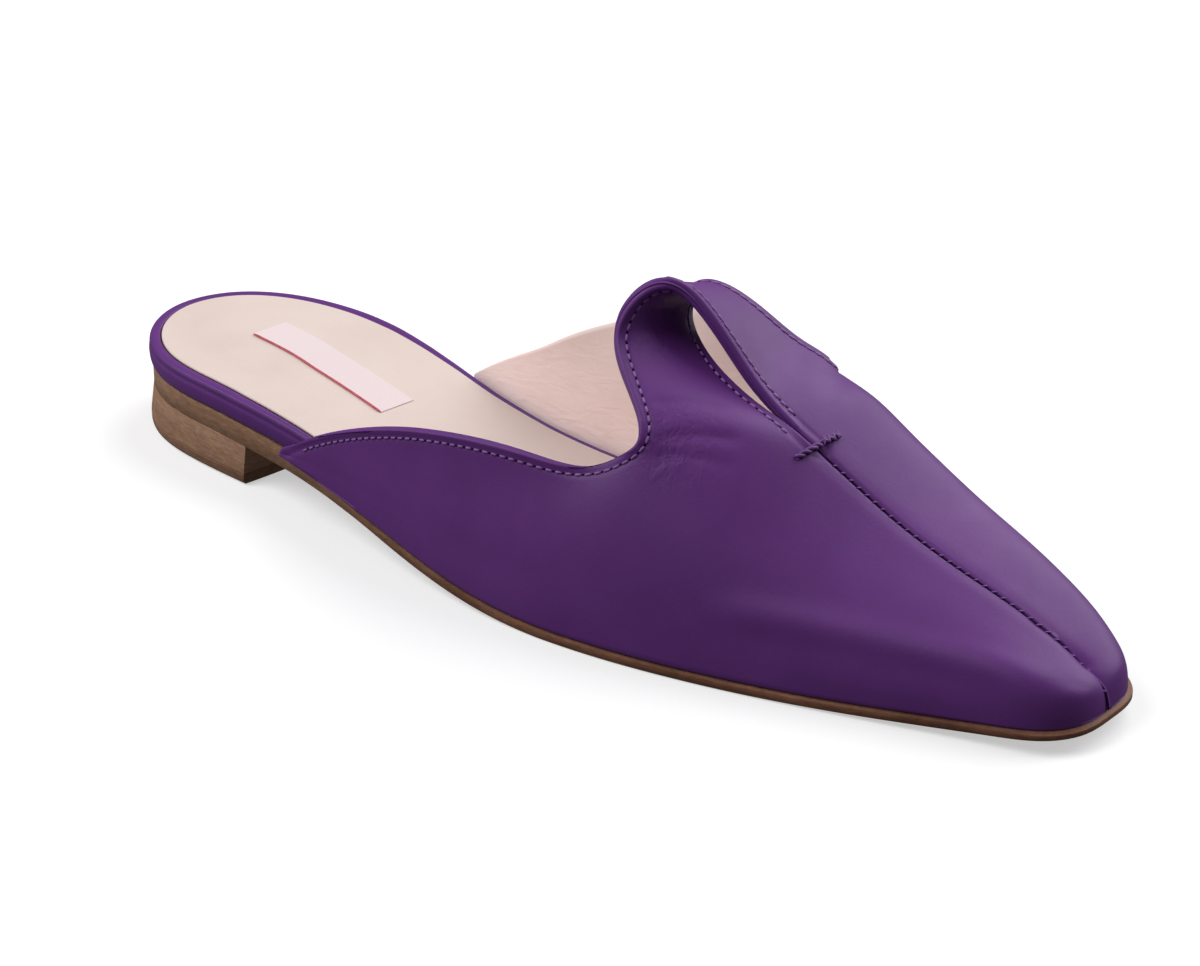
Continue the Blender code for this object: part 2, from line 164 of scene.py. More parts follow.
# Strap from the lateral half over the loop to the medial half:
# turn (-1 lateral foot, 0 crest, 1 medial foot), edge A x, y, z, edge B x, y, z
LOOP = (
    (-1.00, 163.6, -22.5, 44.4, 191.2, 3.5, 41.7),
    (-0.90, 162.3, -20.4, 47.3, 186.6, 2.7, 43.9),
    (-0.80, 158.8, -18.0, 50.0, 181.1, 2.5, 45.6),
    (-0.60, 151.9, -14.1, 54.8, 171.4, 2.8, 49.0),
    (-0.40, 146.6, -9.9, 60.0, 160.2, 5.6, 52.4),
    (-0.25, 147.1, -7.5, 65.6, 151.7, 10.2, 54.9),
    (-0.10, 150.1, -3.9, 70.1, 146.5, 14.9, 58.4),
    (0.00, 153.0, -1.2, 71.2, 146.5, 18.2, 61.6),
    (0.10, 156.5, 1.0, 69.7, 150.2, 20.5, 62.2),
    (0.25, 162.3, 2.2, 64.5, 157.1, 23.2, 59.0),
    (0.40, 167.3, 2.5, 59.3, 162.1, 25.1, 55.4),
    (0.60, 174.1, 2.7, 52.3, 167.5, 27.5, 51.2),
    (0.80, 182.2, 3.1, 46.3, 172.5, 28.9, 48.9),
    (1.00, 191.2, 3.5, 41.7, 175.9, 30.3, 46.2),
)

# Toplines from the strap's foot back to the wing's tip: x, y, z
LATERAL_TOPLINE = (
    (163.6, -22.5, 44.4),
    (162.8, -22.8, 42.2),
    (161.1, -23.4, 40.2),
    (158.2, -24.4, 38.2),
    (154.4, -26.2, 37.1),
    (148.8, -28.4, 37.1),
    (141.0, -30.4, 37.9),
    (131.0, -32.0, 38.1),
    (119.0, -32.6, 36.6),
    (107.0, -32.6, 34.0),
    (96.0, -32.2, 30.4),
    (84.0, -31.4, 25.3),
    (75.0, -31.0, 20.7),
    (69.1, -30.9, 17.0),
    (66.2, -30.8, 15.0),
)
MEDIAL_TOPLINE = (
    (175.9, 30.3, 46.2),
    (174.0, 31.0, 45.2),
    (169.5, 31.2, 45.2),
    (163.0, 30.5, 46.8),
    (155.0, 29.8, 49.6),
    (146.0, 29.2, 51.2),
    (136.0, 28.6, 50.6),
    (126.0, 27.9, 46.5),
    (116.3, 26.6, 41.2),
    (107.0, 23.9, 37.0),
    (98.7, 22.6, 31.4),
    (89.0, 22.6, 25.9),
    (81.5, 23.2, 21.1),
    (76.0, 23.7, 17.0),
)

# Feather line's places under the toe, the tack, the strap's foot and the wing's tip: x
LATERAL_FEET = (TOE_X, 197.0, 160.0, 65.2)
MEDIAL_FEET = (TOE_X, 199.0, 170.0, 75.5)

# Mesh counts
TOE_COLUMNS = 20
STRAP_COLUMNS = 7
WING_COLUMNS = 16
HALF_COLUMNS = TOE_COLUMNS + STRAP_COLUMNS + WING_COLUMNS
HALF_ROWS = 10
LOOP_ROWS = 34
RELAX_ROUNDS = 5
DENSE = 600
WRAP = 4
ACROSS = 14
FINE_ROUNDS = 2
SOLE_FINE = 220
HEEL_FINE = 90
BAND_STEPS = 22
RIM_FINE = 1500
LINE_FINE = 300
SEAM_FINE = 160
TACK_FINE = 60
RIBBON_CELLS = (48, 8)
STITCH_EASE = 6
TACK_EASE = 12

# Columns of the sheet's points after x, y, z: wall thickness, 1 lateral to -1 medial over the strap,
# share of strap, 1 on a topline, share of the way up, column
WALL_AT = 3
SIDE_AT = 4
STRAP_AT = 5
TOPLINE_AT = 6
UP_AT = 7
COLUMN_AT = 8

# Decimals to which points are welded, and how fast the share of strap grows from the strap's feet
WELD_PLACES = 3
STRAP_BLEND = 4

# Shares of strap under which a point is on a half, and over which it is on the strap
OFF_STRAP = 0.01
ON_STRAP = 0.5

# Side over which a rim's end is a wing's tip
TIP_SIDE = 0.999

# Places with fine wrinkles: x, y, z, reach, amount
CREASES = (
    (170.0, -19.0, 46.0, 15.0, 1.0),
    (153.0, -4.0, 62.0, 14.0, 0.8),
)

# Soft ridges and troughs of the leather: rise, half width, path over the mid face
RELIEF = (
    (
        1.0,
        3.2,
        (
            (184.3, -29.8, 18.3),
            (192.5, -27.2, 17.3),
            (204.3, -22.8, 17.1),
            (215.9, -18.5, 16.9),
            (231.5, -13.0, 16.3),
            (247.1, -8.0, 15.2),
            (256.4, -3.2, 12.8),
            (258.2, 3.5, 12.7),
        ),
    ),
    (-0.38, 1.6, ((166.0, -19.5, 45.5), (173.0, -14.0, 46.0), (181.0, -8.0, 45.0))),
    (-0.34, 1.6, ((166.5, -21.5, 42.5), (175.0, -17.0, 42.8), (184.0, -13.0, 41.5))),
    (-0.24, 1.5, ((161.0, -16.5, 50.0), (167.0, -10.5, 50.0), (174.0, -5.0, 48.5))),
    (-0.24, 1.4, ((149.5, -7.5, 61.5), (151.5, -2.0, 59.5), (152.5, 4.0, 57.5))),
    (-0.24, 1.4, ((149.0, -4.5, 66.5), (149.0, 1.0, 63.5), (148.8, 8.0, 60.5))),
)
RELIEF_FADE = 0.18
SEAM_DIP = 0.5
SEAM_DIP_WIDTH = 1.6

# Leather's lower edge: spread over the sole's shoulder, share of the way up where it ends
SKIRT_SPREAD = 0.45
SKIRT_SHARE = 0.3

# Rounded edge of the leather: distance in from the rim, share of the half thickness
EDGE_RINGS = (
    (0.80, 0.07),
    (0.00, 0.24),
    (0.10, 0.70),
    (0.55, 1.00),
)

# Opening of the centre seam, and how much tighter its edges are rounded
SEAM_GAP = 0.25
SEAM_EDGE = 0.6

# Leather thinned towards the medial rim, bead along the other rims, edge turned over the lateral lining
SKIVE = 0.6
SKIVE_REACH = 3.0
BEAD = 0.25
BEAD_AT = 0.6
BEAD_WIDTH = 0.6
TURNED_EDGE = 2.2
TURNED_FADE = 1.0
RIM_FAR = 20.0

# Lining: share of the wall, gap to the leather, distance from the lateral and over the medial rim,
# reach of that, thickening at the foot and its share of the way up
LINING_SHARE = 0.42
LINING_GAP = 0.05
LINING_INSET = 1.1
LINING_OVER = 0.3
LINING_DRAW = 5.0
LINING_FOOT = 0.9
LINING_FOOT_SHARE = 0.3

# Lining's reach: lowest and highest share of the way up, columns left out at the toe and the wing's tip
LINING_LOW = 0.04
LINING_HIGH = 0.88
LINING_TOE = 1.5
LINING_TIP = 1.3

# Stitches along the rims with dark pills of painted shade in their needle holes, and what stays free at the
# wing's tip and the tack
STITCH = {"length": 1.6, "width": 0.6, "height": 0.5, "lift": 0.06}
HOLE_SHADE = {"length": 0.7, "width": 0.62, "height": 0.22, "lift": -0.02}
STITCH_PITCH = 2.3
LOOK_AHEAD = 0.5
STITCH_INSET = 2.25
GROOVE_SHARP = 2.2
STITCH_START = 8.0
TACK_CLEAR = 2.5

# Stitches in the centre seam and a dark cord of painted shade in its groove: slant in degrees, rise over the
# mid face, ends left free
SEAM_STITCH = {"length": 1.7, "width": 0.5, "height": 0.42}
SEAM_SLANT = 58.0
SEAM_RISE = 0.98
SEAM_CLEAR = (5.0, 2.0)
SEAM_SHADE_CORD = 0.4
SEAM_SHADE_CORD_RISE = 0.5

# Bar tack across the foot of the slit: its ends on the lateral and the medial half, two strands, a few knots
TACK_ENDS = ((190.4, -2.5, 42.6), (192.4, 9.8, 44.0))
TACK_STRAND = {"radius": 0.42, "twist": 0.36, "turns": 3.5, "rise": 0.45}
TACK_ROUND = 0.4
TACK_KNOT = {"length": 1.9, "width": 0.55, "height": 0.55}
TACK_KNOTS = 4
TACK_KNOT_FROM = 0.62
TACK_KNOT_END = 4
TACK_KNOT_RISE = 0.5
TACK_KNOT_SLANT = 0.5

# Sides of a thread, how thin its ends are, and a stitch's rings from end to end
THREAD_SIDES = 8
TUBE_END = 0.35
PILL_RINGS = (-0.93, -0.6, 0.0, 0.6, 0.93)

# Outsole's edge lower in front, under the leather's skirt: x, drop
SHOULDER = ((62.0, 0.0), (82.0, 1.0), (235.0, 1.1), (262.0, 1.6))

# Band round the insole: rise over the board, rounding and its power, soft line's depth, drop and softness
BAND_RISE = 0.95
BAND_ROUND = 1.15
BAND_POWER = 0.6
BAND_LINE = 0.28
BAND_DROP = 1.7
BAND_SOFT = 0.45

# Sock's edge in from the band's: x, inset
SOCK_EDGE = ((-1.0, 3.2), (45.0, 3.2), (75.0, 2.2), (100.0, 1.9), (265.0, 1.9))

# Edge profiles from the bottom up: inset, rise, each added to what the piece starts from
BAND_INNER = ((-0.7, -0.05), (-0.35, -0.25), (-0.1, -0.8))
SOCK_PROFILE = ((0.25, 0.3), (0.0, 0.45), (0.06, SOCK_THICK - 0.1), (0.3, SOCK_THICK))
BACKING_PROFILE = ((-0.08, 0.0), (-0.08, GAP + 0.35))
SOLE_FOOT = ((0.08, 0.0), (0.0, 0.08))
SOLE_SHOULDER = ((0.0, -0.3), (0.1, -0.08), (0.4, 0.0))
SOLE_INSIDE = ((2.6, 0.0),)
HEEL_FOOT = ((-0.2, 0.1), (-0.35, 0.25))
HEEL_TOP = ((0.68, -0.05), (0.72, 0.0))
LIFT_PROFILE = ((0.1, 0.0), (-0.3, 0.35), (-0.4, 0.8), (-0.4, LIFT_THICK - 0.15), (-0.25, LIFT_THICK))

# Angles in degrees over which edges stay sharp
SOCK_SHARP = 12
SOLE_SHARP = 50
PLAIN_SHARP = 40

# Heel pad of the sock: middle, half length and width, rise, soft edge
PAD_MIDDLE = (30.0, -2.0)
PAD_HALF = (24.0, 18.0)
PAD_RISE = 0.45
PAD_EDGE = 9.0
TOUCH = 0.01

# Plain ribbon on the sock: a corner, its run, length and width, and its edge thread
RIBBON_CORNER = (27.6, -3.3)
RIBBON_TURN = -6.5
RIBBON_LENGTH = 47.7
RIBBON_WIDTH = 9.8
RIBBON_THICK = 0.25
RIBBON_SINK = 0.1
RIBBON_CORD = 0.3
RIBBON_CORD_DROP = 0.05

# Leathers as screen colours, deep to lit, and where they stand in the colour drift
TONE_STOPS = (0.28, 0.5, 0.74)
PURPLE = ((92, 43, 116), (97, 46, 122), (102, 50, 127))
BAND_PURPLE = ((90, 43, 114), (95, 46, 120), (100, 50, 125))
LINING_PINK = ((247, 221, 215), (252, 229, 223), (254, 234, 228))
SOCK_PINK = ((212, 194, 187), (216, 199, 192), (219, 203, 196))
RAW_TAN = ((150, 112, 92), (176, 136, 112), (196, 158, 132))
LEATHER_SHINE = 0.27

# Browns of the sole and heel, dark to light, and the run where the outsole leaves the heel's browns
SOLE_BROWNS = ((92, 56, 40), (122, 80, 60), (156, 108, 84))
HEEL_BROWNS = ((142, 103, 79), (168, 127, 100), (190, 149, 121))
LIFT_BROWNS = ((122, 86, 66), (150, 110, 87), (172, 130, 104))
BROWN_STOPS = (0.25, 0.5, 0.75)
BROWN_RUN = 75.0
BROWN_FROM = (ORIGIN[0] - 54.0) / BROWN_RUN
FIBRE_TONES = ((150, 146, 142), (255, 255, 255))
FIBRE_SHARE = 0.7

# Threads, dark painted shade for the needle holes and the seam's groove, ribbon and floor
EDGE_THREAD = (148, 102, 170)
SEAM_THREAD = (112, 66, 136)
TACK_THREAD = (122, 74, 146)
RIBBON_THREAD = (205, 92, 104)
DEEP_SHADE = (38, 8, 54)
THREAD_SHADE = 0.82
THREAD_SHINE = 0.35
SHADE_SHINE = 0.05
SOFT_STOPS = (0.3, 0.7)
RIBBON_TONES = ((222, 204, 206), (227, 211, 212))
FLOOR_TONES = ((197, 197, 198), (200, 200, 201))
WHITE = (1.0, 1.0, 1.0, 1.0)

# Floor's half size and drop in metres, its glow, and the world's light
FLOOR_HALF = 3.0
FLOOR_DROP = 0.0002
FLOOR_GLOW = 0.5
WORLD_LIGHT = 0.14

# Lights in metres: name, place, aim, size, power
LIGHTS = (
    ("back_box", (0.30, 1.15, 1.05), (0.02, 0.0, 0.03), 2.0, 30.0),
    ("front_fill", (-0.75, -0.75, 1.30), (0.0, 0.0, 0.03), 1.3, 18.0),
    ("side_fill", (-1.30, -0.80, 0.50), (-0.03, -0.03, 0.02), 0.9, 4.0),
)

# Camera in the shoe's own frame, from the photo's perspective
CAMERA_PLACE = (554.2, -492.3, 350.0)
CAMERA_AIM = (141.0, -8.0, 22.0)
LENS = 98.0
SENSOR = 36.0
CLIP = (0.01, 20.0)


# Curves, outlines and the upper's mid face


def spline(knots, values, at):
    """Natural cubic spline through the rows of values, read at the places in at."""
    knots = np.asarray(knots, float)
    values = np.asarray(values, float).reshape(len(knots), -1)
    step = np.diff(knots)[:, None]
    slope = np.diff(values, axis=0) / step
    system = np.eye(len(knots))
    load = np.zeros_like(values)
    for i in range(1, len(knots) - 1):
        system[i, i - 1 : i + 2] = step[i - 1, 0], 2 * (step[i - 1, 0] + step[i, 0]), step[i, 0]
        load[i] = 6 * (slope[i] - slope[i - 1])
    bend = np.linalg.solve(system, load)
    at = np.atleast_1d(np.asarray(at, float))
    i = np.clip(np.searchsorted(knots, at) - 1, 0, len(knots) - 2)
    before = (at - knots[i])[:, None]
    after = (knots[i + 1] - at)[:, None]
    width = step[i]
    return (
        (bend[i] * after**3 + bend[i + 1] * before**3) / (6 * width)
        + (values[i] / width - bend[i] * width / 6) * after
        + (values[i + 1] / width - bend[i + 1] * width / 6) * before
    )


def run_of(points):
    """Length along a path at each of its points."""
    return np.concatenate([[0.0], np.cumsum(np.linalg.norm(np.diff(points, axis=0), axis=1))])


def path(points, shares):
    """Smooth path through points, read at shares of its length."""
    run = run_of(np.asarray(points, float))
    return spline(run, points, np.asarray(shares) * run[-1])


def smooth(t):
    t = np.clip(t, 0, 1)
    return t * t * (3 - 2 * t)


def unit(v):
    return v / np.maximum(np.linalg.norm(v, axis=-1, keepdims=True), 1e-12)


def sole_top(x):
    """Height of the outsole's upper face."""
    rise = 1 - smooth((x - SEAT_END) / (FLAT_START - SEAT_END))
    spring = np.clip((x - FLAT_END) / (TOE_X - FLAT_END), 0, None) ** 2
    return OUTSOLE_FORE + (SEAT_HEIGHT - OUTSOLE_FORE) * rise + TOE_SPRING * spring


def sole_low(x):
    """Height of the outsole's lower face, thicker over the heel."""
    thin = smooth((x - THIN_START) / (THIN_END - THIN_START))
    return sole_top(x) - OUTSOLE_HEEL + (OUTSOLE_HEEL - OUTSOLE_FORE) * thin


def inset_of(column):
    table = np.array(INSETS)
    return lambda x: np.interp(x, table[:, 0], table[:, column])


def outward_of(points, side):
    """Outward directions along one side of a flat outline, heel to toe."""
    ahead = unit(np.gradient(points, axis=0))
    return np.stack([-ahead[:, 1], ahead[:, 0]], axis=1) * side


def outline_sides():
    """Dense lateral and medial halves of the footprint, heel to toe, with their outward directions."""
    rows = np.array(OUTLINE)
    ring = np.vstack([rows[:, [0, 1]], rows[-2:0:-1, [0, 2]]])
    wrapped = np.vstack([ring[-WRAP:], ring, ring[: WRAP + 1]])
    run = run_of(wrapped)
    heel, toe, again = run[WRAP], run[WRAP + len(rows) - 1], run[WRAP + len(ring)]
    sides = {}
    for side, start, end in ((-1, heel, toe), (1, again, toe)):
        points = spline(run, wrapped, np.linspace(start, end, DENSE))
        sides[side] = (points, outward_of(points, side))
    return sides


SIDES = outline_sides()


def edge(side, inset):
    """One side of the footprint, heel to toe, moved in by inset(x)."""
    points, outward = SIDES[side]
    return points - outward * np.asarray(inset(points[:, 0]))[:, None]


def at_lengths(points, lengths):
    """A dense path at lengths along it."""
    run = run_of(points)
    return np.stack([np.interp(lengths, run, column) for column in points.T], axis=1)


def read(points, shares):
    """A dense path at shares of its length."""
    return at_lengths(points, np.asarray(shares) * run_of(points)[-1])


def share_at(points, x):
    """Share of a dense heel-to-toe path's length where it reaches x."""
    run = run_of(points)
    return np.interp(x, points[:, 0], run / run[-1])


def rails(inset, places, end=None):
    """Paired lateral and medial edge points, heel to toe, or heel to the breast at x = end."""
    pair = []
    for side in (-1, 1):
        line = edge(side, inset)
        top = 1.0 if end is None else share_at(line, end)
        pair.append(read(line, places * top))
    return pair


def deck(pair, height, open_end):
    """A face from edge to edge as rows of points, each row one pair; the heel's end is one point."""
    lateral, medial = pair
    rows = [[(lateral[0] + medial[0]) / 2]]
    last = len(lateral) - 1
    for k in range(1, last + 1):
        if k == last and not open_end:
            rows.append([(lateral[k] + medial[k]) / 2])
            continue
        shares = np.linspace(0, 1, ACROSS + 1)
        row = lateral[k] + (medial[k] - lateral[k]) * shares[:, None]
        if open_end:
            row[:, 0] += BREAST_BOW * (k / last) ** 2 * (1 - (2 * shares - 1) ** 2)
        rows.append(list(row))
    return [[(p[0], p[1], float(height(p[0]))) for p in row] for row in rows]


def rim_of(rows):
    """A deck's boundary, as (row, place) pairs in order."""
    last = len(rows) - 1
    there = [(k, 0) for k in range(last)]
    over = [(last, j) for j in range(len(rows[last]))]
    back = [(k, len(rows[k]) - 1) for k in range(last - 1, 0, -1)]
    return there + over + back


def plus(function, amount):
    return lambda x: function(x) + amount


def level(z):
    return lambda x: x * 0 + z


def bezier(a, b, c, d, count):
    t = np.linspace(0, 1, count + 1)[:, None]
    return (1 - t) ** 3 * a + 3 * (1 - t) ** 2 * t * b + 3 * (1 - t) * t * t * c + t**3 * d


def loop_grid(rows):
    """The strap's mid face: rows from the lateral half over the crest to the medial half, A to B."""
    table = np.array(LOOP)
    turns = np.linspace(-1, 1, rows + 1)
    edge_a = spline(table[:, 0], table[:, 1:4], turns)
    edge_b = spline(table[:, 0], table[:, 4:7], turns)
    shares = np.linspace(0, 1, STRAP_COLUMNS + 1)[None, :, None]
    crown = STRAP_CROWN * smooth(2 * np.abs(turns) - 1)[:, None, None] * (1 - (2 * shares - 1) ** 2)
    return edge_a[:, None] + (edge_b - edge_a)[:, None] * shares + crown * np.array(CROWN_WAY)


def half_grid(side, loop):
    """One half of the upper's mid face: columns from the toe to the wing's tip, rows from the feather up."""
    lateral = (LATERAL_FEET, LATERAL_TOPLINE, LATERAL_VAMP)
    medial = (MEDIAL_FEET, MEDIAL_TOPLINE, MEDIAL_VAMP)
    feet_x, topline, vamp = lateral if side < 0 else medial
    vamp = np.array(vamp)
    feather = edge(side, inset_of(1))
    outward = outward_of(feather, side)

    # Top ends: seam, strap's foot, topline
    along_toe = np.linspace(0, 1, TOE_COLUMNS + 1)
    seam = path(SEAM, along_toe**SEAM_SPREAD)
    foot_row, next_row = (loop[0][::-1], loop[1][::-1]) if side < 0 else (loop[-1], loop[-2])
    wing = path(topline, np.linspace(0, 1, WING_COLUMNS + 1))
    top = np.vstack([seam[:-1], foot_row, wing[1:]])
    tack, deep, tip = TOE_COLUMNS, TOE_COLUMNS + STRAP_COLUMNS, len(top) - 1

    # Feather ends: shares of the outline under the same columns
    marks = [share_at(feather, x) for x in feet_x]
    marks[0] = 1.0
    shares = np.empty(tip + 1)
    shares[: tack + 1] = marks[0] + (marks[1] - marks[0]) * along_toe**FEATHER_SPREAD
    shares[tack : deep + 1] = np.linspace(marks[1], marks[2], STRAP_COLUMNS + 1)
    wing_run = run_of(wing)
    shares[deep:] = marks[2] + (marks[3] - marks[2]) * wing_run / wing_run[-1]
    feet = read(feather, shares)
    leaning = unit(read(outward, shares))
    feet = np.column_stack([feet, sole_top(feet[:, 0]) + GAP])
    leaning = np.column_stack([leaning, np.zeros(tip + 1)])

    facing = unit(np.cross(np.gradient(foot_row, axis=0), foot_row - next_row))
    sideways = np.array([0, side, STRAP_DIP])
    strap_way = unit(sideways - (facing @ sideways)[:, None] * facing)
    grid = np.empty((tip + 1, HALF_ROWS + 1, 3))
    for c in range(tip + 1):
        foot, head = feet[c], top[c]
        height = head[2] - foot[2]
        width = np.linalg.norm(head[:2] - foot[:2])
        place = min(c / tack, 1.0) + min(max(c - tack, 0) / STRAP_COLUMNS, 1.0)
        wall, reach, slope = (np.interp(place, vamp[:, 0], vamp[:, k]) for k in (1, 2, 3))
        slope = math.radians(slope)
        swing = math.radians(90) * min(1.0, c / TOE_FAN)
        over = np.array([math.cos(swing), side * math.sin(swing) * math.cos(slope), -math.sin(slope)])
        if tack < c <= deep:
            blend = smooth((c - tack) / STRAP_COLUMNS)
            over = unit(unit(over) * (1 - blend) + strap_way[c - tack] * blend)
        if c > deep:
            blend = smooth((c - deep) / WING_FADE)
            drop = unit(foot - head)
            over = unit(strap_way[-1] * (1 - blend) + drop * blend)
            wall = wall + (WING_WALL - wall) * blend
            width = width + (height * WING_LEAN - width) * blend
        near_foot = foot + np.array([0, 0, wall * height]) + leaning[c] * BULGE
        near_head = head + unit(over) * reach * width
        grid[c] = bezier(foot, near_foot, near_head, head, HALF_ROWS)
    return grid


def quads_of(index):
    """Four-sided faces of a grid of point numbers."""
    corners = [index[:-1, :-1], index[1:, :-1], index[1:, 1:], index[:-1, 1:]]
    return np.stack(corners, axis=-1).reshape(-1, 4)


def sheet():
    """The upper's mid face: grids of the lateral half, medial half and strap, welded points, faces."""
    loop = loop_grid(LOOP_ROWS)
    grids = [half_grid(-1, loop), half_grid(1, loop), loop]
    points = np.vstack([grid.reshape(-1, 3) for grid in grids])
    rounded = np.round(points, WELD_PLACES)
    _, first, index = np.unique(rounded, axis=0, return_index=True, return_inverse=True)
    index = index.reshape(-1)
    faces, start = [], 0
    for grid in grids:
        rows, wide = grid.shape[:2]
        faces.append(quads_of(index[start : start + rows * wide].reshape(rows, wide)))
        start += rows * wide
    return grids, points[first], np.vstack(faces)


def edges_of(faces):
    """Directed sides of the faces, the edges' ends, each side's edge, and how many faces share each edge."""
    sides = np.stack([faces, np.roll(faces, -1, axis=1)], axis=-1).reshape(-1, 2)
    ends, which, shared = np.unique(np.sort(sides, axis=1), axis=0, return_inverse=True, return_counts=True)
    return sides, ends, which.reshape(-1), shared


def nearest_of(points, line):
    """Distance of each point to the nearest of some others, and which that is."""
    tree = KDTree(len(line))
    for i, p in enumerate(line):
        tree.insert(p, i)
    tree.balance()
    hits = [tree.find(p) for p in points]
    return np.array([h[2] for h in hits]), np.array([h[1] for h in hits])


def relaxed(points, ends, held):
    """Points drawn towards their neighbours' middle, apart from those held."""
    count = np.bincount(ends.reshape(-1), minlength=len(points))[:, None]
    free = np.ones(len(points), bool)
    free[held] = False
    for _ in range(RELAX_ROUNDS):
        total = np.zeros_like(points)
        np.add.at(total, ends[:, 0], points[ends[:, 1]])
        np.add.at(total, ends[:, 1], points[ends[:, 0]])
        points = np.where(free[:, None], (points + total / count) / 2, points)
    return points


def row_frame(points):
    return (np.asarray(points, float) - ORIGIN) * MM


def srgb(red, green, blue):
    """Linear colour of a screen colour."""
    share = np.array([red, green, blue]) / 255.0
    linear = np.where(share <= 0.04045, share / 12.92, ((share + 0.055) / 1.055) ** 2.4)
    return (*linear.tolist(), 1.0)


# Sheets of leather


def cut_sheet():
    """The upper's mid face, cut open along the centre seam: one strip with an outer and an inner side.

    Returns the points with their extra columns, the faces, outwards on the lateral half, and the indices of
    the strip's marks: wing tips, toes and the tack's two sides.
    """
    grids, welded, faces = sheet()
    _, ends, _, shared = edges_of(faces)
    rim = ends[shared == 1].reshape(-1)
    seam = path(SEAM, np.linspace(0, 1, TOE_COLUMNS + 1) ** SEAM_SPREAD)
    by_sole = np.flatnonzero(welded[:, 2] - sole_top(welded[:, 0]) < INSOLE_TOP + SOCK_THICK)
    points = relaxed(welded, ends, np.concatenate([rim, nearest_of(seam, welded)[1], by_sole]))

    found, columns, quads, marks = {}, [], [], {}
    for kind, grid in enumerate(grids):
        rows, wide = grid.shape[:2]
        olds = nearest_of(grid.reshape(-1, 3), welded)[1].reshape(rows, wide)
        index = np.empty((rows, wide), int)
        for i in range(rows):
            turn = 2 * i / (rows - 1) - 1
            strap = smooth(STRAP_BLEND * (1 - abs(turn))) if kind == 2 else 0.0
            side = (1.0, -1.0, -turn)[kind]
            wall = WALL + (STRAP - WALL) * strap
            for j in range(wide):
                key = (int(olds[i, j]), int(side < 0))
                if key not in found:
                    found[key] = len(columns)
                    topline = float(kind < 2 and j == wide - 1 and i >= TOE_COLUMNS)
                    columns.append([*points[olds[i, j]], wall, side, strap, topline, j / (wide - 1), i])
                index[i, j] = found[key]
        if kind < 2:
            name = ("lateral", "medial")[kind]
            marks[name + " tack"] = index[TOE_COLUMNS, HALF_ROWS]
            marks[name + " tip"] = index[-1, HALF_ROWS]
            marks[name + " toe"] = index[0, 0]
        quads.append(quads_of(index)[:, ::-1])
    return np.array(columns), np.vstack(quads), marks


def subdivided(points, faces, held):
    """One Catmull-Clark round on four-sided faces. Extra columns go along, and held points stay."""
    count = len(points)
    _, ends, which, shared = edges_of(faces)
    which = which.reshape(-1, 4)
    border = shared == 1
    middle = points[faces].mean(axis=1)
    half = points[ends].mean(axis=1)
    around = np.zeros_like(half)
    np.add.at(around, which.reshape(-1), np.repeat(middle, 4, axis=0))
    edge_points = np.where(border[:, None], half, (2 * half + around) / 4)

    valence = np.bincount(faces.reshape(-1), minlength=count)[:, None]
    degree = np.bincount(ends.reshape(-1), minlength=count)[:, None]
    face_sum, half_sum, border_sum = (np.zeros_like(points) for _ in range(3))
    np.add.at(face_sum, faces.reshape(-1), np.repeat(middle, 4, axis=0))
    np.add.at(half_sum, ends.reshape(-1), np.repeat(half, 2, axis=0))
    np.add.at(border_sum, ends[border].reshape(-1), np.repeat(half[border], 2, axis=0))
    inner = (face_sum / valence + 2 * half_sum / degree + (degree - 3) * points) / degree
    moved = np.where(degree == valence, inner, points / 2 + border_sum / 4)
    keep = valence[:, 0] == 1
    keep[held] = True
    moved[keep] = points[keep]

    f = np.arange(len(faces)) + count + len(ends)
    quads = []
    for k in range(4):
        quads.append(np.stack([faces[:, k], count + which[:, k], f, count + which[:, k - 1]], axis=1))
    return np.vstack([moved, edge_points, middle]), np.vstack(quads)


def normals_of(points, faces):
    corners = points[faces][:, :, :3]
    facing = np.cross(corners[:, 2] - corners[:, 0], corners[:, 3] - corners[:, 1])
    normal = np.zeros((len(points), 3))
    for k in range(4):
        np.add.at(normal, faces[:, k], facing)
    return unit(normal)


def border_loop(faces):
    """Border points in order, with the faces on their left."""
    sides, _, which, shared = edges_of(faces)
    onward = dict(sides[shared[which] == 1].tolist())
    start = next(iter(onward))
    loop = [start]
    while onward[loop[-1]] != start:
        loop.append(onward[loop[-1]])
    return np.array(loop)


def between(loop, first, last):
    """The border's shorter way from one mark to another, as places in the loop."""
    count = len(loop)
    a = int(np.flatnonzero(loop == first)[0])
    b = int(np.flatnonzero(loop == last)[0])
    there = [(a + k) % count for k in range((b - a) % count + 1)]
    back = [(a - k) % count for k in range((a - b) % count + 1)]
    return np.array(min(there, back, key=len))


def inward_of(points, loop, normal):
    """Direction into the sheet at each border point."""
    line = points[loop][:, :3]
    ahead = unit(np.roll(line, -1, axis=0) - np.roll(line, 1, axis=0))
    return unit(np.cross(normal[loop], ahead))


def ringed(points, faces, loop, inward):
    """Adds the edge rings along the border: points, faces, each point's thickness share, the outer ring."""
    rim, new = points[loop], len(EDGE_RINGS) - 1
    rings = list(len(points) + np.arange(new * len(loop)).reshape(new, -1)) + [loop]
    points = np.vstack([points] + [rim] * new)
    share = np.ones(len(points))
    for ring, (reach, full) in zip(rings, EDGE_RINGS):
        points[ring, :3] = rim[:, :3] + inward * reach
        share[ring] = full
    bands = []
    for outer, inner in zip(rings, rings[1:]):
        bands.append(np.stack([outer, np.roll(outer, -1), np.roll(inner, -1), inner], axis=1))
    return points, np.vstack([faces, *bands]), share, rings[0]


def two_sided(points, faces, normal, over, under, rim):
    """A closed skin between two offsets of a sheet, joined along its rim."""
    count = len(points)
    ahead = np.roll(rim, -1)
    band = np.stack([ahead, rim, rim + count, ahead + count], axis=1)
    skin = np.vstack([points[:, :3] + normal * over[:, None], points[:, :3] + normal * under[:, None]])
    return skin, np.vstack([faces, faces[:, ::-1] + count, band])


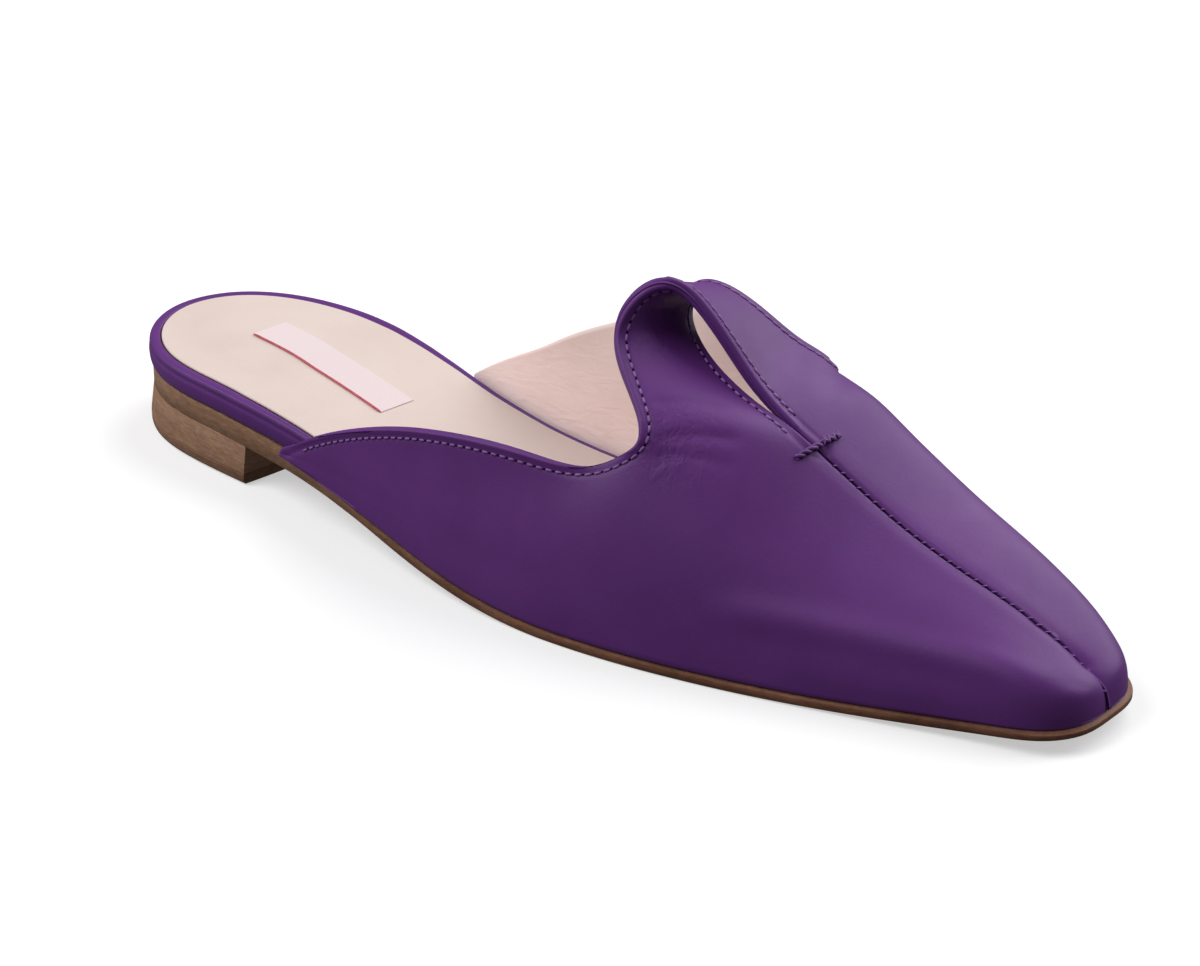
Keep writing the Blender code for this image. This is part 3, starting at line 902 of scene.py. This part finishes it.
def near_line(points, line):
    """Distance of each point to a smooth line, and its share of the way along."""
    away, place = nearest_of(points, path(line, np.linspace(0, 1, LINE_FINE)))
    return away, place / (LINE_FINE - 1)


def relief(points):
    """Outward rise of the leather at each point of the sheet."""
    total = np.zeros(len(points))
    for rise, width, line in RELIEF:
        away, share = near_line(points[:, :3], line)
        fade = smooth(share / RELIEF_FADE) * smooth((1 - share) / RELIEF_FADE)
        total += rise * fade * np.exp(-((away / width) ** 2))
    away, _ = near_line(points[:, :3], SEAM)
    dip = SEAM_DIP * np.exp(-((away / SEAM_DIP_WIDTH) ** 2))
    return total - np.where(points[:, STRAP_AT] < OFF_STRAP, dip, 0.0)


def shoulder_drop(x):
    return np.interp(x, *np.array(SHOULDER).T)


def skirted(points):
    """The halves' lower edge drawn down and out over the sole's shoulder."""
    low = np.where(points[:, STRAP_AT] < OFF_STRAP, 1 - smooth(points[:, UP_AT] / SKIRT_SHARE), 0.0)
    spread = np.where(points[:, SIDE_AT] > 0, 1.0, -1.0) * SKIRT_SPREAD * low
    return low * shoulder_drop(points[:, 0]), spread[:, None]


def crease_share(points):
    total = np.zeros(len(points))
    for x, y, z, reach, amount in CREASES:
        away = np.linalg.norm(points - np.array([x, y, z]), axis=1)
        total = np.maximum(total, amount * (1 - smooth(away / reach)))
    return total


# Sole pieces


def skin_of(levels, places, end=None):
    """A closed solid between its first and last level, each an (inset, height) pair of functions of x."""
    points, faces, rims = [], [], []

    def add(p):
        points.append(p)
        return len(points) - 1

    for i, (inset, height) in enumerate(levels):
        rows = deck(rails(inset, places, end), height, end is not None)
        inside = i in (0, len(levels) - 1)
        index = [[add(p) if inside else None for p in line] for line in rows]
        if inside:
            for low, high in zip(index, index[1:]):
                for j in range(max(len(low), len(high)) - 1):
                    a, b = low[min(j, len(low) - 1)], low[min(j + 1, len(low) - 1)]
                    c, d = high[min(j + 1, len(high) - 1)], high[min(j, len(high) - 1)]
                    corner = tuple(dict.fromkeys((a, b, c, d)))
                    faces.append(corner if i else corner[::-1])
            rims.append([index[k][j] for k, j in rim_of(rows)])
        else:
            rims.append([add(rows[k][j]) for k, j in rim_of(rows)])
    for low, high in zip(rims, rims[1:]):
        for k in range(len(low)):
            n = (k + 1) % len(low)
            faces.append((low[k], low[n], high[n], high[k]))
    return np.array(points), faces


def profile(rows, inset, height):
    """Levels of a sole piece, from rows of inset and rise added to its first inset and height."""
    return [(plus(inset, shy), plus(height, rise)) for shy, rise in rows]


def pad_of(points):
    """Rise of the sock's heel pad."""
    apart = (points[:, :2] - np.array(PAD_MIDDLE)) / np.array(PAD_HALF)
    beyond = (np.linalg.norm(apart, axis=1) - 1) * min(PAD_HALF)
    return PAD_RISE * (1 - smooth((beyond + PAD_EDGE) / PAD_EDGE))


# Threads


def capped(rings, first, last):
    """A closed skin round rings of points, with a point at each end."""
    count, around = rings.shape[:2]
    index = np.arange(count * around).reshape(count, around)
    ahead = np.roll(index, -1, axis=1)
    walls = np.stack([index[:-1], ahead[:-1], ahead[1:], index[1:]], axis=-1).reshape(-1, 4)
    start = np.column_stack([np.full(around, index.size), ahead[0], index[0]])
    end = np.column_stack([np.full(around, index.size + 1), index[-1], ahead[-1]])
    faces = walls.tolist() + start.tolist() + end.tolist()
    return np.vstack([rings.reshape(-1, 3), first, last]), faces


def pill(length, width, height):
    """A small rounded thread length along X, as points and faces."""
    u = np.array(PILL_RINGS)[:, None]
    thick = np.sqrt(1 - u**4) / 2
    turns = 2 * math.pi * np.arange(THREAD_SIDES) / THREAD_SIDES
    across, rise = thick * width * np.cos(turns), thick * height * np.sin(turns)
    rings = np.stack(np.broadcast_arrays(u * length / 2, across, rise), axis=-1)
    return capped(rings, (-length / 2, 0, 0), (length / 2, 0, 0))


def scattered(shape, places, along, up):
    """Copies of a shape at places, with its X along and its Z up."""
    points, faces = shape
    up = unit(up)
    side = unit(np.cross(up, along))
    ahead = np.cross(side, up)
    turned = np.stack([ahead, side, up], axis=1)
    copies = np.einsum("pk,nkc->npc", points, turned) + np.asarray(places)[:, None]
    all_faces = [tuple(v + i * len(points) for v in face) for i in range(len(places)) for face in faces]
    return copies.reshape(-1, 3), all_faces


def tube(line, radius):
    """A closed round thread along a line."""
    ahead = unit(np.gradient(line, axis=0))
    side = unit(np.cross(ahead, np.array([0.0, 0.0, 1.0])))
    up = np.cross(side, ahead)
    taper = np.ones(len(line))
    taper[[0, -1]] = TUBE_END
    turns = 2 * math.pi * np.arange(THREAD_SIDES)[:, None] / THREAD_SIDES
    out = side[:, None] * np.cos(turns) + up[:, None] * np.sin(turns)
    return capped(line[:, None] + out * (radius * taper)[:, None, None], line[0], line[-1])


def joined(parts):
    """Several (points, faces) as one."""
    points, faces, start = [], [], 0
    for p, f in parts:
        points.append(p)
        faces.extend(tuple(v + start for v in face) for face in f)
        start += len(p)
    return np.vstack(points), faces


def evenly(line, pitch, start, end):
    """Places at an even pitch along a line, and its directions there, leaving out start and end."""
    lengths = np.arange(start, run_of(line)[-1] - end, pitch)
    places = at_lengths(line, lengths)
    return places, unit(at_lengths(line, lengths + LOOK_AHEAD) - places)


def eased(line, rounds):
    """A line smoothed between its ends."""
    line = line.copy()
    for _ in range(rounds):
        line[1:-1] = (line[:-2] + 2 * line[1:-1] + line[2:]) / 4
    return line


def on_skin(tree, places):
    """Nearest places on a skin, and the skin's normals there."""
    hits = [tree.find_nearest(Vector(p)) for p in places]
    return np.array([h[0][:] for h in hits]), np.array([h[1][:] for h in hits])


# Materials


class Paint:
    """A procedural material with helpers for its nodes; textures are read in metres on the piece."""

    def __init__(self, name, roughness, specular):
        self.material = bpy.data.materials.new(name)
        self.material.use_nodes = True
        self.tree = self.material.node_tree
        self.shader = self.tree.nodes["Principled BSDF"].inputs
        self.put(self.shader["Roughness"], roughness)
        self.put(self.shader["Specular IOR Level"], specular)
        self.place = self.add("ShaderNodeTexCoord").outputs["Object"]
        self.height = None

    def put(self, socket, value):
        """A constant set on a socket, or an output linked to it."""
        if isinstance(value, (int, float, tuple)):
            socket.default_value = value
        else:
            self.tree.links.new(value, socket)

    def add(self, kind, values=(), **settings):
        """A new node with its settings, and its inputs by name or number."""
        node = self.tree.nodes.new(kind)
        for name, value in settings.items():
            setattr(node, name, value)
        for name, value in dict(values).items():
            self.put(node.inputs[name], value)
        return node

    def stretched(self, scale, turn=(0.0, 0.0, 0.0)):
        values = {"Scale": scale, "Rotation": turn, "Vector": self.place}
        return self.add("ShaderNodeMapping", values).outputs["Vector"]

    def noise(self, scale, detail=3.0, rough=0.55, vector=None, distortion=0.0):
        values = {"Scale": scale, "Detail": detail, "Roughness": rough, "Distortion": distortion}
        values["Vector"] = vector or self.place
        return self.add("ShaderNodeTexNoise", values).outputs["Fac"]

    def cells(self, scale):
        values = {"Scale": scale, "Vector": self.place}
        return self.add("ShaderNodeTexVoronoi", values, feature="SMOOTH_F1").outputs["Distance"]

    def attribute(self, name):
        return self.add("ShaderNodeAttribute", attribute_name=name).outputs["Fac"]

    def math(self, operation, *values):
        return self.add("ShaderNodeMath", enumerate(values), operation=operation).outputs[0]

    def ramp(self, value, places, tones):
        node = self.add("ShaderNodeValToRGB", {"Fac": value})
        band = node.color_ramp.elements
        stops = [(place, srgb(*tone)) for place, tone in zip(places, tones)]
        band[0].position, band[0].color = stops[0]
        band[1].position, band[1].color = stops[-1]
        for place, colour in stops[1:-1]:
            band.new(place).color = colour
        return node.outputs["Color"]

    def mix(self, share, first, second, blend="MIX"):
        values = {0: share, 6: first, 7: second}
        return self.add("ShaderNodeMix", values, data_type="RGBA", blend_type=blend).outputs[2]

    def colour(self, value):
        self.put(self.shader["Base Color"], value)

    def roughness(self, value, low, high):
        values = {"Value": value, "To Min": low, "To Max": high}
        self.put(self.shader["Roughness"], self.add("ShaderNodeMapRange", values).outputs["Result"])

    def bump(self, value, strength, distance):
        """Adds a layer of relief, distance in millimetres."""
        values = {"Strength": strength, "Distance": distance * MM, "Height": value}
        if self.height:
            values["Normal"] = self.height
        self.height = self.add("ShaderNodeBump", values).outputs["Normal"]
        self.put(self.shader["Normal"], self.height)


def leather(name, tones, roughness):
    """Smooth fine-grained leather: soft colour drift, pores and pebble, slight gloss changes."""
    paint = Paint(name, roughness, specular=LEATHER_SHINE)
    paint.colour(paint.ramp(paint.noise(scale=38, detail=4, rough=0.6), TONE_STOPS, tones))
    paint.roughness(paint.noise(scale=160), low=roughness - 0.05, high=roughness + 0.08)
    paint.bump(paint.cells(scale=1500), strength=0.22, distance=0.08)
    paint.bump(paint.noise(scale=620, detail=4, rough=0.6), strength=0.2, distance=0.10)
    paint.bump(paint.noise(scale=70, detail=2), strength=0.08, distance=0.5)
    return paint


def upper_paint():
    """Purple leather, pressed in along the stitches and finely wrinkled at the creases."""
    paint = leather("purple_leather", PURPLE, roughness=0.48)
    away = paint.math("SUBTRACT", paint.attribute("rim"), STITCH_INSET)
    groove = paint.math("MULTIPLY", paint.math("MULTIPLY", away, away), -GROOVE_SHARP)
    groove = paint.math("EXPONENT", groove)
    paint.bump(paint.math("MULTIPLY", groove, -1.0), strength=0.7, distance=0.22)
    folds = paint.stretched(scale=(1.0, 1.0, 0.35), turn=(0.5, 0.2, 0.7))
    wrinkles = paint.noise(scale=420, rough=0.6, vector=folds, distortion=0.6)
    paint.bump(paint.math("MULTIPLY", wrinkles, paint.attribute("crease")), strength=0.85, distance=0.6)
    return paint.material


def lining_paint():
    paint = leather("lining_leather", LINING_PINK, roughness=0.55)
    folds = paint.stretched(scale=(0.5, 1.0, 1.6), turn=(0.0, 0.3, 0.4))
    wrinkles = paint.noise(scale=160, rough=0.6, vector=folds, distortion=1.2)
    paint.bump(wrinkles, strength=0.35, distance=0.6)
    return paint.material


def thread_paint(name, colour, shine=THREAD_SHINE):
    paint = Paint(name, roughness=0.5, specular=shine)
    tones = (tuple(THREAD_SHADE * np.array(colour)), colour)
    paint.colour(paint.ramp(paint.noise(scale=900, detail=2), SOFT_STOPS, tones))
    paint.bump(paint.noise(scale=3000, detail=2), strength=0.3, distance=0.05)
    return paint.material


def stacked_paint(name, browns, layers, roughness, back=None):
    """Stacked brown layers with fine fibres along them; the back of the piece may have browns of its own."""
    paint = Paint(name, roughness, specular=0.3)
    flat, fine = (paint.stretched(scale=scale) for scale in ((0.3, 0.3, layers), (1.3, 1.3, 5.0)))
    layer = paint.noise(scale=60, rough=0.7, vector=flat, distortion=0.1)
    fibre = paint.noise(scale=300, detail=5, rough=0.75, vector=fine, distortion=0.3)
    base = paint.ramp(layer, BROWN_STOPS, browns)
    if back:
        parted = paint.add("ShaderNodeSeparateXYZ", {"Vector": paint.place})
        ahead = paint.math("MULTIPLY_ADD", parted.outputs["X"], 1 / (BROWN_RUN * MM), BROWN_FROM)
        share = paint.add("ShaderNodeClamp", {"Value": ahead}).outputs["Result"]
        base = paint.mix(share, paint.ramp(layer, BROWN_STOPS, back), base)
    grain = paint.ramp(fibre, SOFT_STOPS, FIBRE_TONES)
    paint.colour(paint.mix(FIBRE_SHARE, base, grain, "MULTIPLY"))
    paint.roughness(fibre, low=roughness - 0.06, high=roughness + 0.12)
    paint.bump(fibre, strength=0.3, distance=0.15)
    paint.bump(layer, strength=0.3, distance=0.2)
    return paint.material


def ribbon_paint():
    paint = Paint("ribbon_weave", roughness=0.6, specular=0.3)
    values = {"Scale": 420, "Vector": paint.place}
    weave = paint.add("ShaderNodeTexWave", values, wave_type="BANDS", bands_direction="X").outputs["Fac"]
    paint.colour(paint.ramp(weave, (0.0, 1.0), RIBBON_TONES))
    paint.bump(weave, strength=0.25, distance=0.05)
    return paint.material


def floor_paint():
    paint = Paint("pale_floor", roughness=0.7, specular=0.2)
    paint.colour(paint.ramp(paint.noise(scale=3, detail=2), SOFT_STOPS, FLOOR_TONES))
    paint.put(paint.shader["Emission Color"], WHITE)
    paint.put(paint.shader["Emission Strength"], FLOOR_GLOW)
    return paint.material


# Pieces


def piece(name, shape, material, replaces=(), sharp=None):
    points, faces = shape
    data = bpy.data.meshes.new(name)
    data.from_pydata(row_frame(points).tolist(), [], [tuple(int(v) for v in face) for face in faces])
    data.materials.append(material)
    data.shade_smooth()
    obj = bpy.data.objects.new(name, data)
    bpy.context.scene.collection.objects.link(obj)
    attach(obj, "root")
    if replaces:
        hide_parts(*replaces)
    if sharp:
        data.set_sharp_from_angle(angle=math.radians(sharp))
    return obj


def give(obj, name, values):
    layer = obj.data.attributes.new(name, "FLOAT", "POINT")
    layer.data.foreach_set("value", np.asarray(values, np.float32))


def add_upper():
    """Leather of the two halves and the strap; returns what the lining and the threads need of it."""
    points, faces, marks = cut_sheet()
    held = [marks["lateral tack"], marks["medial tack"]]
    for _ in range(FINE_ROUNDS):
        points, faces = subdivided(points, faces, held)
    normal = normals_of(points, faces)
    points[:, :3] += normal * (np.sign(points[:, SIDE_AT]) * relief(points))[:, None]
    drop, spread = skirted(points)
    points[:, :3] += normal * spread
    points[:, 2] -= drop
    loop = border_loop(faces)
    normal = normals_of(points, faces)
    inward = inward_of(points, loop, normal)
    places = [between(loop, marks["lateral tip"], marks["medial tack"])]
    places.append(between(loop, marks["lateral tack"], marks["medial tip"]))
    halves = [between(loop, marks[half + " tack"], marks[half + " toe"]) for half in ("lateral", "medial")]
    seams = np.concatenate(halves)
    points[loop[seams], :3] += inward[seams] * SEAM_GAP
    rims = [points[loop[rim], :3] for rim in places]
    ways = [(inward[rim], points[loop[rim], SIDE_AT], points[loop[rim], STRAP_AT]) for rim in places]
    seam = points[loop[halves[0]], :3]
    inward[seams] *= SEAM_EDGE
    sheet_points, sheet_faces = points, faces
    points, faces, share, outer = ringed(points, faces, loop, inward)
    normal = normals_of(points, faces)

    # Leather takes the whole strap, and the outer part of the wall elsewhere
    thick, side, strap = points[:, [WALL_AT, SIDE_AT, STRAP_AT]].T
    rim_line = np.vstack([read(line, np.linspace(0, 1, RIM_FINE)) for line in rims])
    near = nearest_of(points[:, :3], rim_line)[0]
    turned = smooth((TURNED_EDGE - near) / TURNED_FADE) * (side > 0)
    thin = thick * (0.5 - LINING_SHARE) + thick * LINING_SHARE * np.maximum(np.clip(strap, 0, 1), turned)
    inner_half = thin * share
    skived = SKIVE * smooth((SKIVE_REACH - near) / SKIVE_REACH) * ((side < 0) & (strap < OFF_STRAP))
    bead = BEAD * np.exp(-(((near - BEAD_AT) / BEAD_WIDTH) ** 2)) * ((side > 0) | (strap > ON_STRAP))
    outer_half = (thick / 2 * (1 - skived) + bead) * share
    over = np.where(side >= 0, outer_half, inner_half)
    under = -np.where(side >= 0, inner_half, outer_half)
    skin = two_sided(points, faces, normal, over, under, outer)
    obj = piece("upper_leather", skin, upper_paint(), ("upper",))
    give(obj, "rim", np.minimum(nearest_of(skin[0], rim_line)[0], RIM_FAR))
    give(obj, "crease", crease_share(skin[0]))
    return {
        "skin": skin,
        "count": len(points),
        "faces": faces,
        "rims": rims,
        "ways": ways,
        "seam": seam,
        "sheet": (sheet_points, sheet_faces),
    }


def add_lining(upper):
    """Pale leather inside the two halves, a little short of the turned edge."""
    points, faces = upper["sheet"]
    side, up, column = (points[faces][:, :, k].mean(axis=1) for k in (SIDE_AT, UP_AT, COLUMN_AT))
    halves = points[faces][:, :, STRAP_AT].max(axis=1) < OFF_STRAP
    tip = np.where(side > 0, LINING_TIP, 0.0)
    halves &= (up > LINING_LOW) & (column > LINING_TOE) & (column < HALF_COLUMNS - tip)
    halves &= (column > TOE_COLUMNS) | (up < LINING_HIGH)
    parts = []
    for sign in (1, -1):
        chosen = faces[halves & (side * sign > 0)]
        used, index = np.unique(chosen, return_inverse=True)
        part, quads = points[used].copy(), index.reshape(-1, 4)
        loop = border_loop(quads)
        normal = normals_of(part, quads)
        rim = loop[part[loop, TOPLINE_AT] > 0.5]
        away, nearest = nearest_of(part[:, :3], part[rim, :3])
        way = unit(part[:, :3] - part[rim, :3][nearest])
        way[loop] = inward_of(part, loop, normal)
        inset = LINING_INSET if sign > 0 else -LINING_OVER
        part[:, :3] += way * (inset * np.clip(1 - away / LINING_DRAW, 0, 1))[:, None]
        normal = normals_of(part, quads)
        near = part[:, WALL_AT] * (0.5 - LINING_SHARE) + LINING_GAP
        far = part[:, WALL_AT] * 0.5 + LINING_FOOT * (1 - smooth(part[:, UP_AT] / LINING_FOOT_SHARE))
        over, under = (-near, -far) if sign > 0 else (far, near)
        parts.append(two_sided(part, quads, normal, over, under, loop))
    piece("lining", joined(parts), lining_paint())


def trees_of(upper):
    """Search trees of the leather's two faces."""
    points, _ = upper["skin"]
    count, faces = upper["count"], upper["faces"]
    top = BVHTree.FromPolygons(points[:count].tolist(), faces.tolist())
    low = BVHTree.FromPolygons(points[count:].tolist(), faces[:, ::-1].tolist())
    return top, low


def thread_of(sizes):
    return pill(sizes["length"], sizes["width"], sizes["height"])


def add_stitches(upper, trees):
    """A stitch row with dark pills of painted shade in its needle holes along each topline and strap edge,
    on every face that shows.
    """
    stitches, hole_shades = [], []
    kinds = ((STITCH, stitches, 0.0), (HOLE_SHADE, hole_shades, STITCH_PITCH / 2))
    for line, (inward, side, strap) in zip(upper["rims"], upper["ways"]):
        guide = line + inward * STITCH_INSET
        for tree, outer in zip(trees, (side >= 0, side < 0)):
            shown = np.flatnonzero(outer | (strap > ON_STRAP))
            places = eased(on_skin(tree, guide[shown[0] : shown[-1] + 1])[0], STITCH_EASE)
            tips = (abs(side[k]) > TIP_SIDE and strap[k] < OFF_STRAP for k in shown[[0, -1]])
            start, end = (STITCH_START if tip else TACK_CLEAR for tip in tips)
            for sizes, store, offset in kinds:
                at, ahead = evenly(places, STITCH_PITCH, start + offset, end)
                at, up = on_skin(tree, at)
                store.append(scattered(thread_of(sizes), at + up * sizes["lift"], ahead, up))
    piece("edge_stitches", joined(stitches), thread_paint("purple_thread", EDGE_THREAD))
    # Painted shade: dark pills in the needle holes between the stitches
    shade = thread_paint("hole_shade", DEEP_SHADE, SHADE_SHINE)
    piece("needle_hole_shade", joined(hole_shades), shade)


def add_seam(upper):
    """Thread over the groove of the centre seam, and a dark cord of painted shade in the groove."""
    side = np.array([0.0, 1.0, 0.0])
    line = upper["seam"] + side * SEAM_GAP
    at, ahead = evenly(line, STITCH_PITCH, *SEAM_CLEAR)
    up = unit(np.cross(ahead, side))
    slant = math.radians(SEAM_SLANT)
    way = ahead * math.cos(slant) + side * math.sin(slant)
    stitches = scattered(thread_of(SEAM_STITCH), at + up * SEAM_RISE, way, up)
    groove = read(line, np.linspace(0.0, 1.0, SEAM_FINE))
    above = unit(np.cross(np.gradient(groove, axis=0), side))
    # Painted shade: a dark tube along the groove, standing for its shadow
    cord = tube(groove + above * SEAM_SHADE_CORD_RISE, SEAM_SHADE_CORD)
    piece("seam_stitches", stitches, thread_paint("seam_thread", SEAM_THREAD))
    piece("seam_groove_shade", cord, thread_paint("cord_shade", DEEP_SHADE, SHADE_SHINE))


def add_tack(trees):
    """Bar tack across the foot of the slit: two twisted strands, with a few knots at the medial end."""
    ends = np.array(TACK_ENDS)
    ahead = unit(ends[1] - ends[0])
    share = np.linspace(0, 1, TACK_FINE)
    base = ends[0] + (ends[1] - ends[0]) * share[:, None]
    first, second = (on_skin(tree, base) for tree in trees)
    nearer = np.linalg.norm(first[0] - base, axis=1) < np.linalg.norm(second[0] - base, axis=1)
    skin, up = (eased(np.where(nearer[:, None], a, b), TACK_EASE) for a, b in zip(first, second))
    up = unit(up)
    across = unit(np.cross(up, ahead))
    middle = skin + up * (TACK_STRAND["rise"] * np.sin(math.pi * share) ** TACK_ROUND)[:, None]
    parts = []
    for start in (0.0, math.pi):
        turn = start + 2 * math.pi * TACK_STRAND["turns"] * share
        out = (across * np.cos(turn)[:, None] + up * np.sin(turn)[:, None]) * TACK_STRAND["twist"]
        parts.append(tube(middle + out, TACK_STRAND["radius"]))
    every = np.linspace(TACK_FINE * TACK_KNOT_FROM, TACK_FINE - TACK_KNOT_END, TACK_KNOTS)
    every = every.round().astype(int)
    places = middle[every] + up[every] * TACK_KNOT_RISE
    way = across[every] + TACK_KNOT_SLANT * ahead
    parts.append(scattered(thread_of(TACK_KNOT), places, way, up[every]))
    piece("bar_tack", joined(parts), thread_paint("tack_thread", TACK_THREAD))


def add_sole():
    """Padded band, sock with its raw edge, outsole, heel and top lift."""
    places = np.linspace(0, 1, SOLE_FINE)
    insole, outsole, flush = inset_of(2), inset_of(3), level(0.0)

    def sock_edge(x):
        return insole(x) + np.interp(x, *np.array(SOCK_EDGE).T)

    def shoulder(x):
        return sole_top(x) - shoulder_drop(x)

    # Padded band round the insole, with a soft line under its rolled top
    levels = []
    high = INSOLE_TOP + BAND_RISE
    half = (high - GAP) / 2
    for turn in np.linspace(-math.pi / 2, math.pi / 2, BAND_STEPS):
        z = GAP + half + half * math.sin(turn)
        line = BAND_LINE * math.exp(-(((z - (high - BAND_DROP)) / BAND_SOFT) ** 2))
        inset = BAND_ROUND * (1 - math.cos(turn) ** BAND_POWER) + line
        levels.append((plus(insole, inset), plus(sole_top, z)))
    levels += profile(BAND_INNER, sock_edge, plus(sole_top, high))
    band = leather("band_leather", BAND_PURPLE, roughness=0.45).material
    piece("insole_band", skin_of(levels, places), band, ("insole",))

    # Sock with a low heel pad, and its raw edge
    low = INSOLE_TOP + GAP
    points, faces = skin_of(profile(SOCK_PROFILE, sock_edge, plus(sole_top, low)), places)
    top = points[:, 2] > sole_top(points[:, 0]) + low + SOCK_THICK - TOUCH
    points[top, 2] += pad_of(points[top])
    pink = leather("sock_leather", SOCK_PINK, roughness=0.55).material
    piece("sock_cover", (points, faces), pink, ("sock",), SOCK_SHARP)
    backing = skin_of(profile(BACKING_PROFILE, sock_edge, plus(sole_top, INSOLE_TOP)), places)
    piece("sock_backing", backing, leather("raw_edge", RAW_TAN, roughness=0.7).material)

    # Outsole, heel and lift
    levels = profile(SOLE_FOOT, outsole, sole_low)
    levels += profile(SOLE_SHOULDER, outsole, shoulder)
    levels += profile(SOLE_INSIDE, outsole, sole_top)
    brown = stacked_paint("sole_edge", SOLE_BROWNS, layers=2.2, roughness=0.5, back=HEEL_BROWNS)
    piece("outsole_leather", skin_of(levels, places), brown, ("outsole",), SOLE_SHARP)

    heel_places = np.linspace(0, 1, HEEL_FINE)
    levels = profile(HEEL_FOOT, flush, level(LIFT_THICK)) + profile(HEEL_TOP, flush, sole_low)
    heel = skin_of(levels, heel_places, BREAST_X)
    brown = stacked_paint("heel_layers", HEEL_BROWNS, layers=2.2, roughness=0.5)
    piece("heel_stack", heel, brown, ("heel",), PLAIN_SHARP)
    lift = skin_of(profile(LIFT_PROFILE, flush, flush), heel_places, BREAST_X)
    brown = stacked_paint("lift_layer", LIFT_BROWNS, layers=2.0, roughness=0.6)
    piece("lift_layer", lift, brown, ("top_lift",), PLAIN_SHARP)


def add_ribbon():
    """A plain ribbon across the heel end of the sock, with a coloured edge thread."""
    turn = math.radians(RIBBON_TURN)
    along = np.array([math.cos(turn), math.sin(turn)])
    across = np.array([-math.sin(turn), math.cos(turn)])
    long, wide = RIBBON_CELLS
    index = np.arange((long + 1) * (wide + 1)).reshape(long + 1, wide + 1)
    steps, reaches = np.indices(index.shape)
    run, reach = steps.reshape(-1, 1) / long, reaches.reshape(-1, 1) / wide
    flat = np.array(RIBBON_CORNER) + along * RIBBON_LENGTH * run + across * RIBBON_WIDTH * reach
    height = sole_top(flat[:, 0]) + INSOLE_TOP + GAP + SOCK_THICK + pad_of(flat)
    points, faces = np.column_stack([flat, height]), quads_of(index)
    over, under = (np.full(len(flat), rise) for rise in (RIBBON_THICK, -RIBBON_SINK))
    skin = two_sided(points, faces, np.array([0.0, 0.0, 1.0]), over, under, border_loop(faces))
    piece("plain_ribbon", skin, ribbon_paint(), sharp=PLAIN_SHARP)
    lower = skin[0][index[:, 0]] - np.array([0.0, 0.0, RIBBON_CORD_DROP])
    piece("ribbon_edge", tube(lower, RIBBON_CORD), thread_paint("coral_thread", RIBBON_THREAD))


def aimed(name, data, place, aim):
    """A lamp or camera at a place, turned towards its aim."""
    obj = bpy.data.objects.new(name, data)
    obj.location = place
    obj.rotation_euler = (Vector(aim) - Vector(place)).to_track_quat("-Z", "Y").to_euler()
    bpy.context.scene.collection.objects.link(obj)
    return obj


def add_stage():
    """Pale floor, soft lights and the camera."""
    square = ((-1, -1), (1, -1), (1, 1), (-1, 1))
    corners = [(x * FLOOR_HALF, y * FLOOR_HALF, -FLOOR_DROP) for x, y in square]
    data = bpy.data.meshes.new("floor")
    data.from_pydata(corners, [], [(0, 1, 2, 3)])
    data.materials.append(floor_paint())
    floor = bpy.data.objects.new("floor", data)
    bpy.context.scene.collection.objects.link(floor)
    floor.visible_diffuse = False
    floor.visible_glossy = False

    for name, place, aim, size, power in LIGHTS:
        lamp = bpy.data.lights.new(name, "AREA")
        lamp.shape = "DISK"
        lamp.size = size
        lamp.energy = power
        aimed(name, lamp, place, aim)
    world = bpy.data.worlds.new("studio")
    world.use_nodes = True
    sky = world.node_tree.nodes["Background"].inputs
    sky["Color"].default_value = WHITE
    sky["Strength"].default_value = WORLD_LIGHT
    bpy.context.scene.world = world
    bpy.context.scene.view_settings.view_transform = "Standard"

    eye = bpy.data.cameras.new("camera")
    eye.lens = LENS
    eye.sensor_width = SENSOR
    eye.clip_start, eye.clip_end = CLIP
    place, aim = (row_frame(p) for p in (CAMERA_PLACE, CAMERA_AIM))
    bpy.context.scene.camera = aimed("camera", eye, place, aim)


for start_object in list(bpy.data.objects):
    bpy.data.objects.remove(start_object)
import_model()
upper_shape = add_upper()
skin_trees = trees_of(upper_shape)
add_lining(upper_shape)
add_stitches(upper_shape, skin_trees)
add_seam(upper_shape)
add_tack(skin_trees)
add_sole()
add_ribbon()
add_stage()
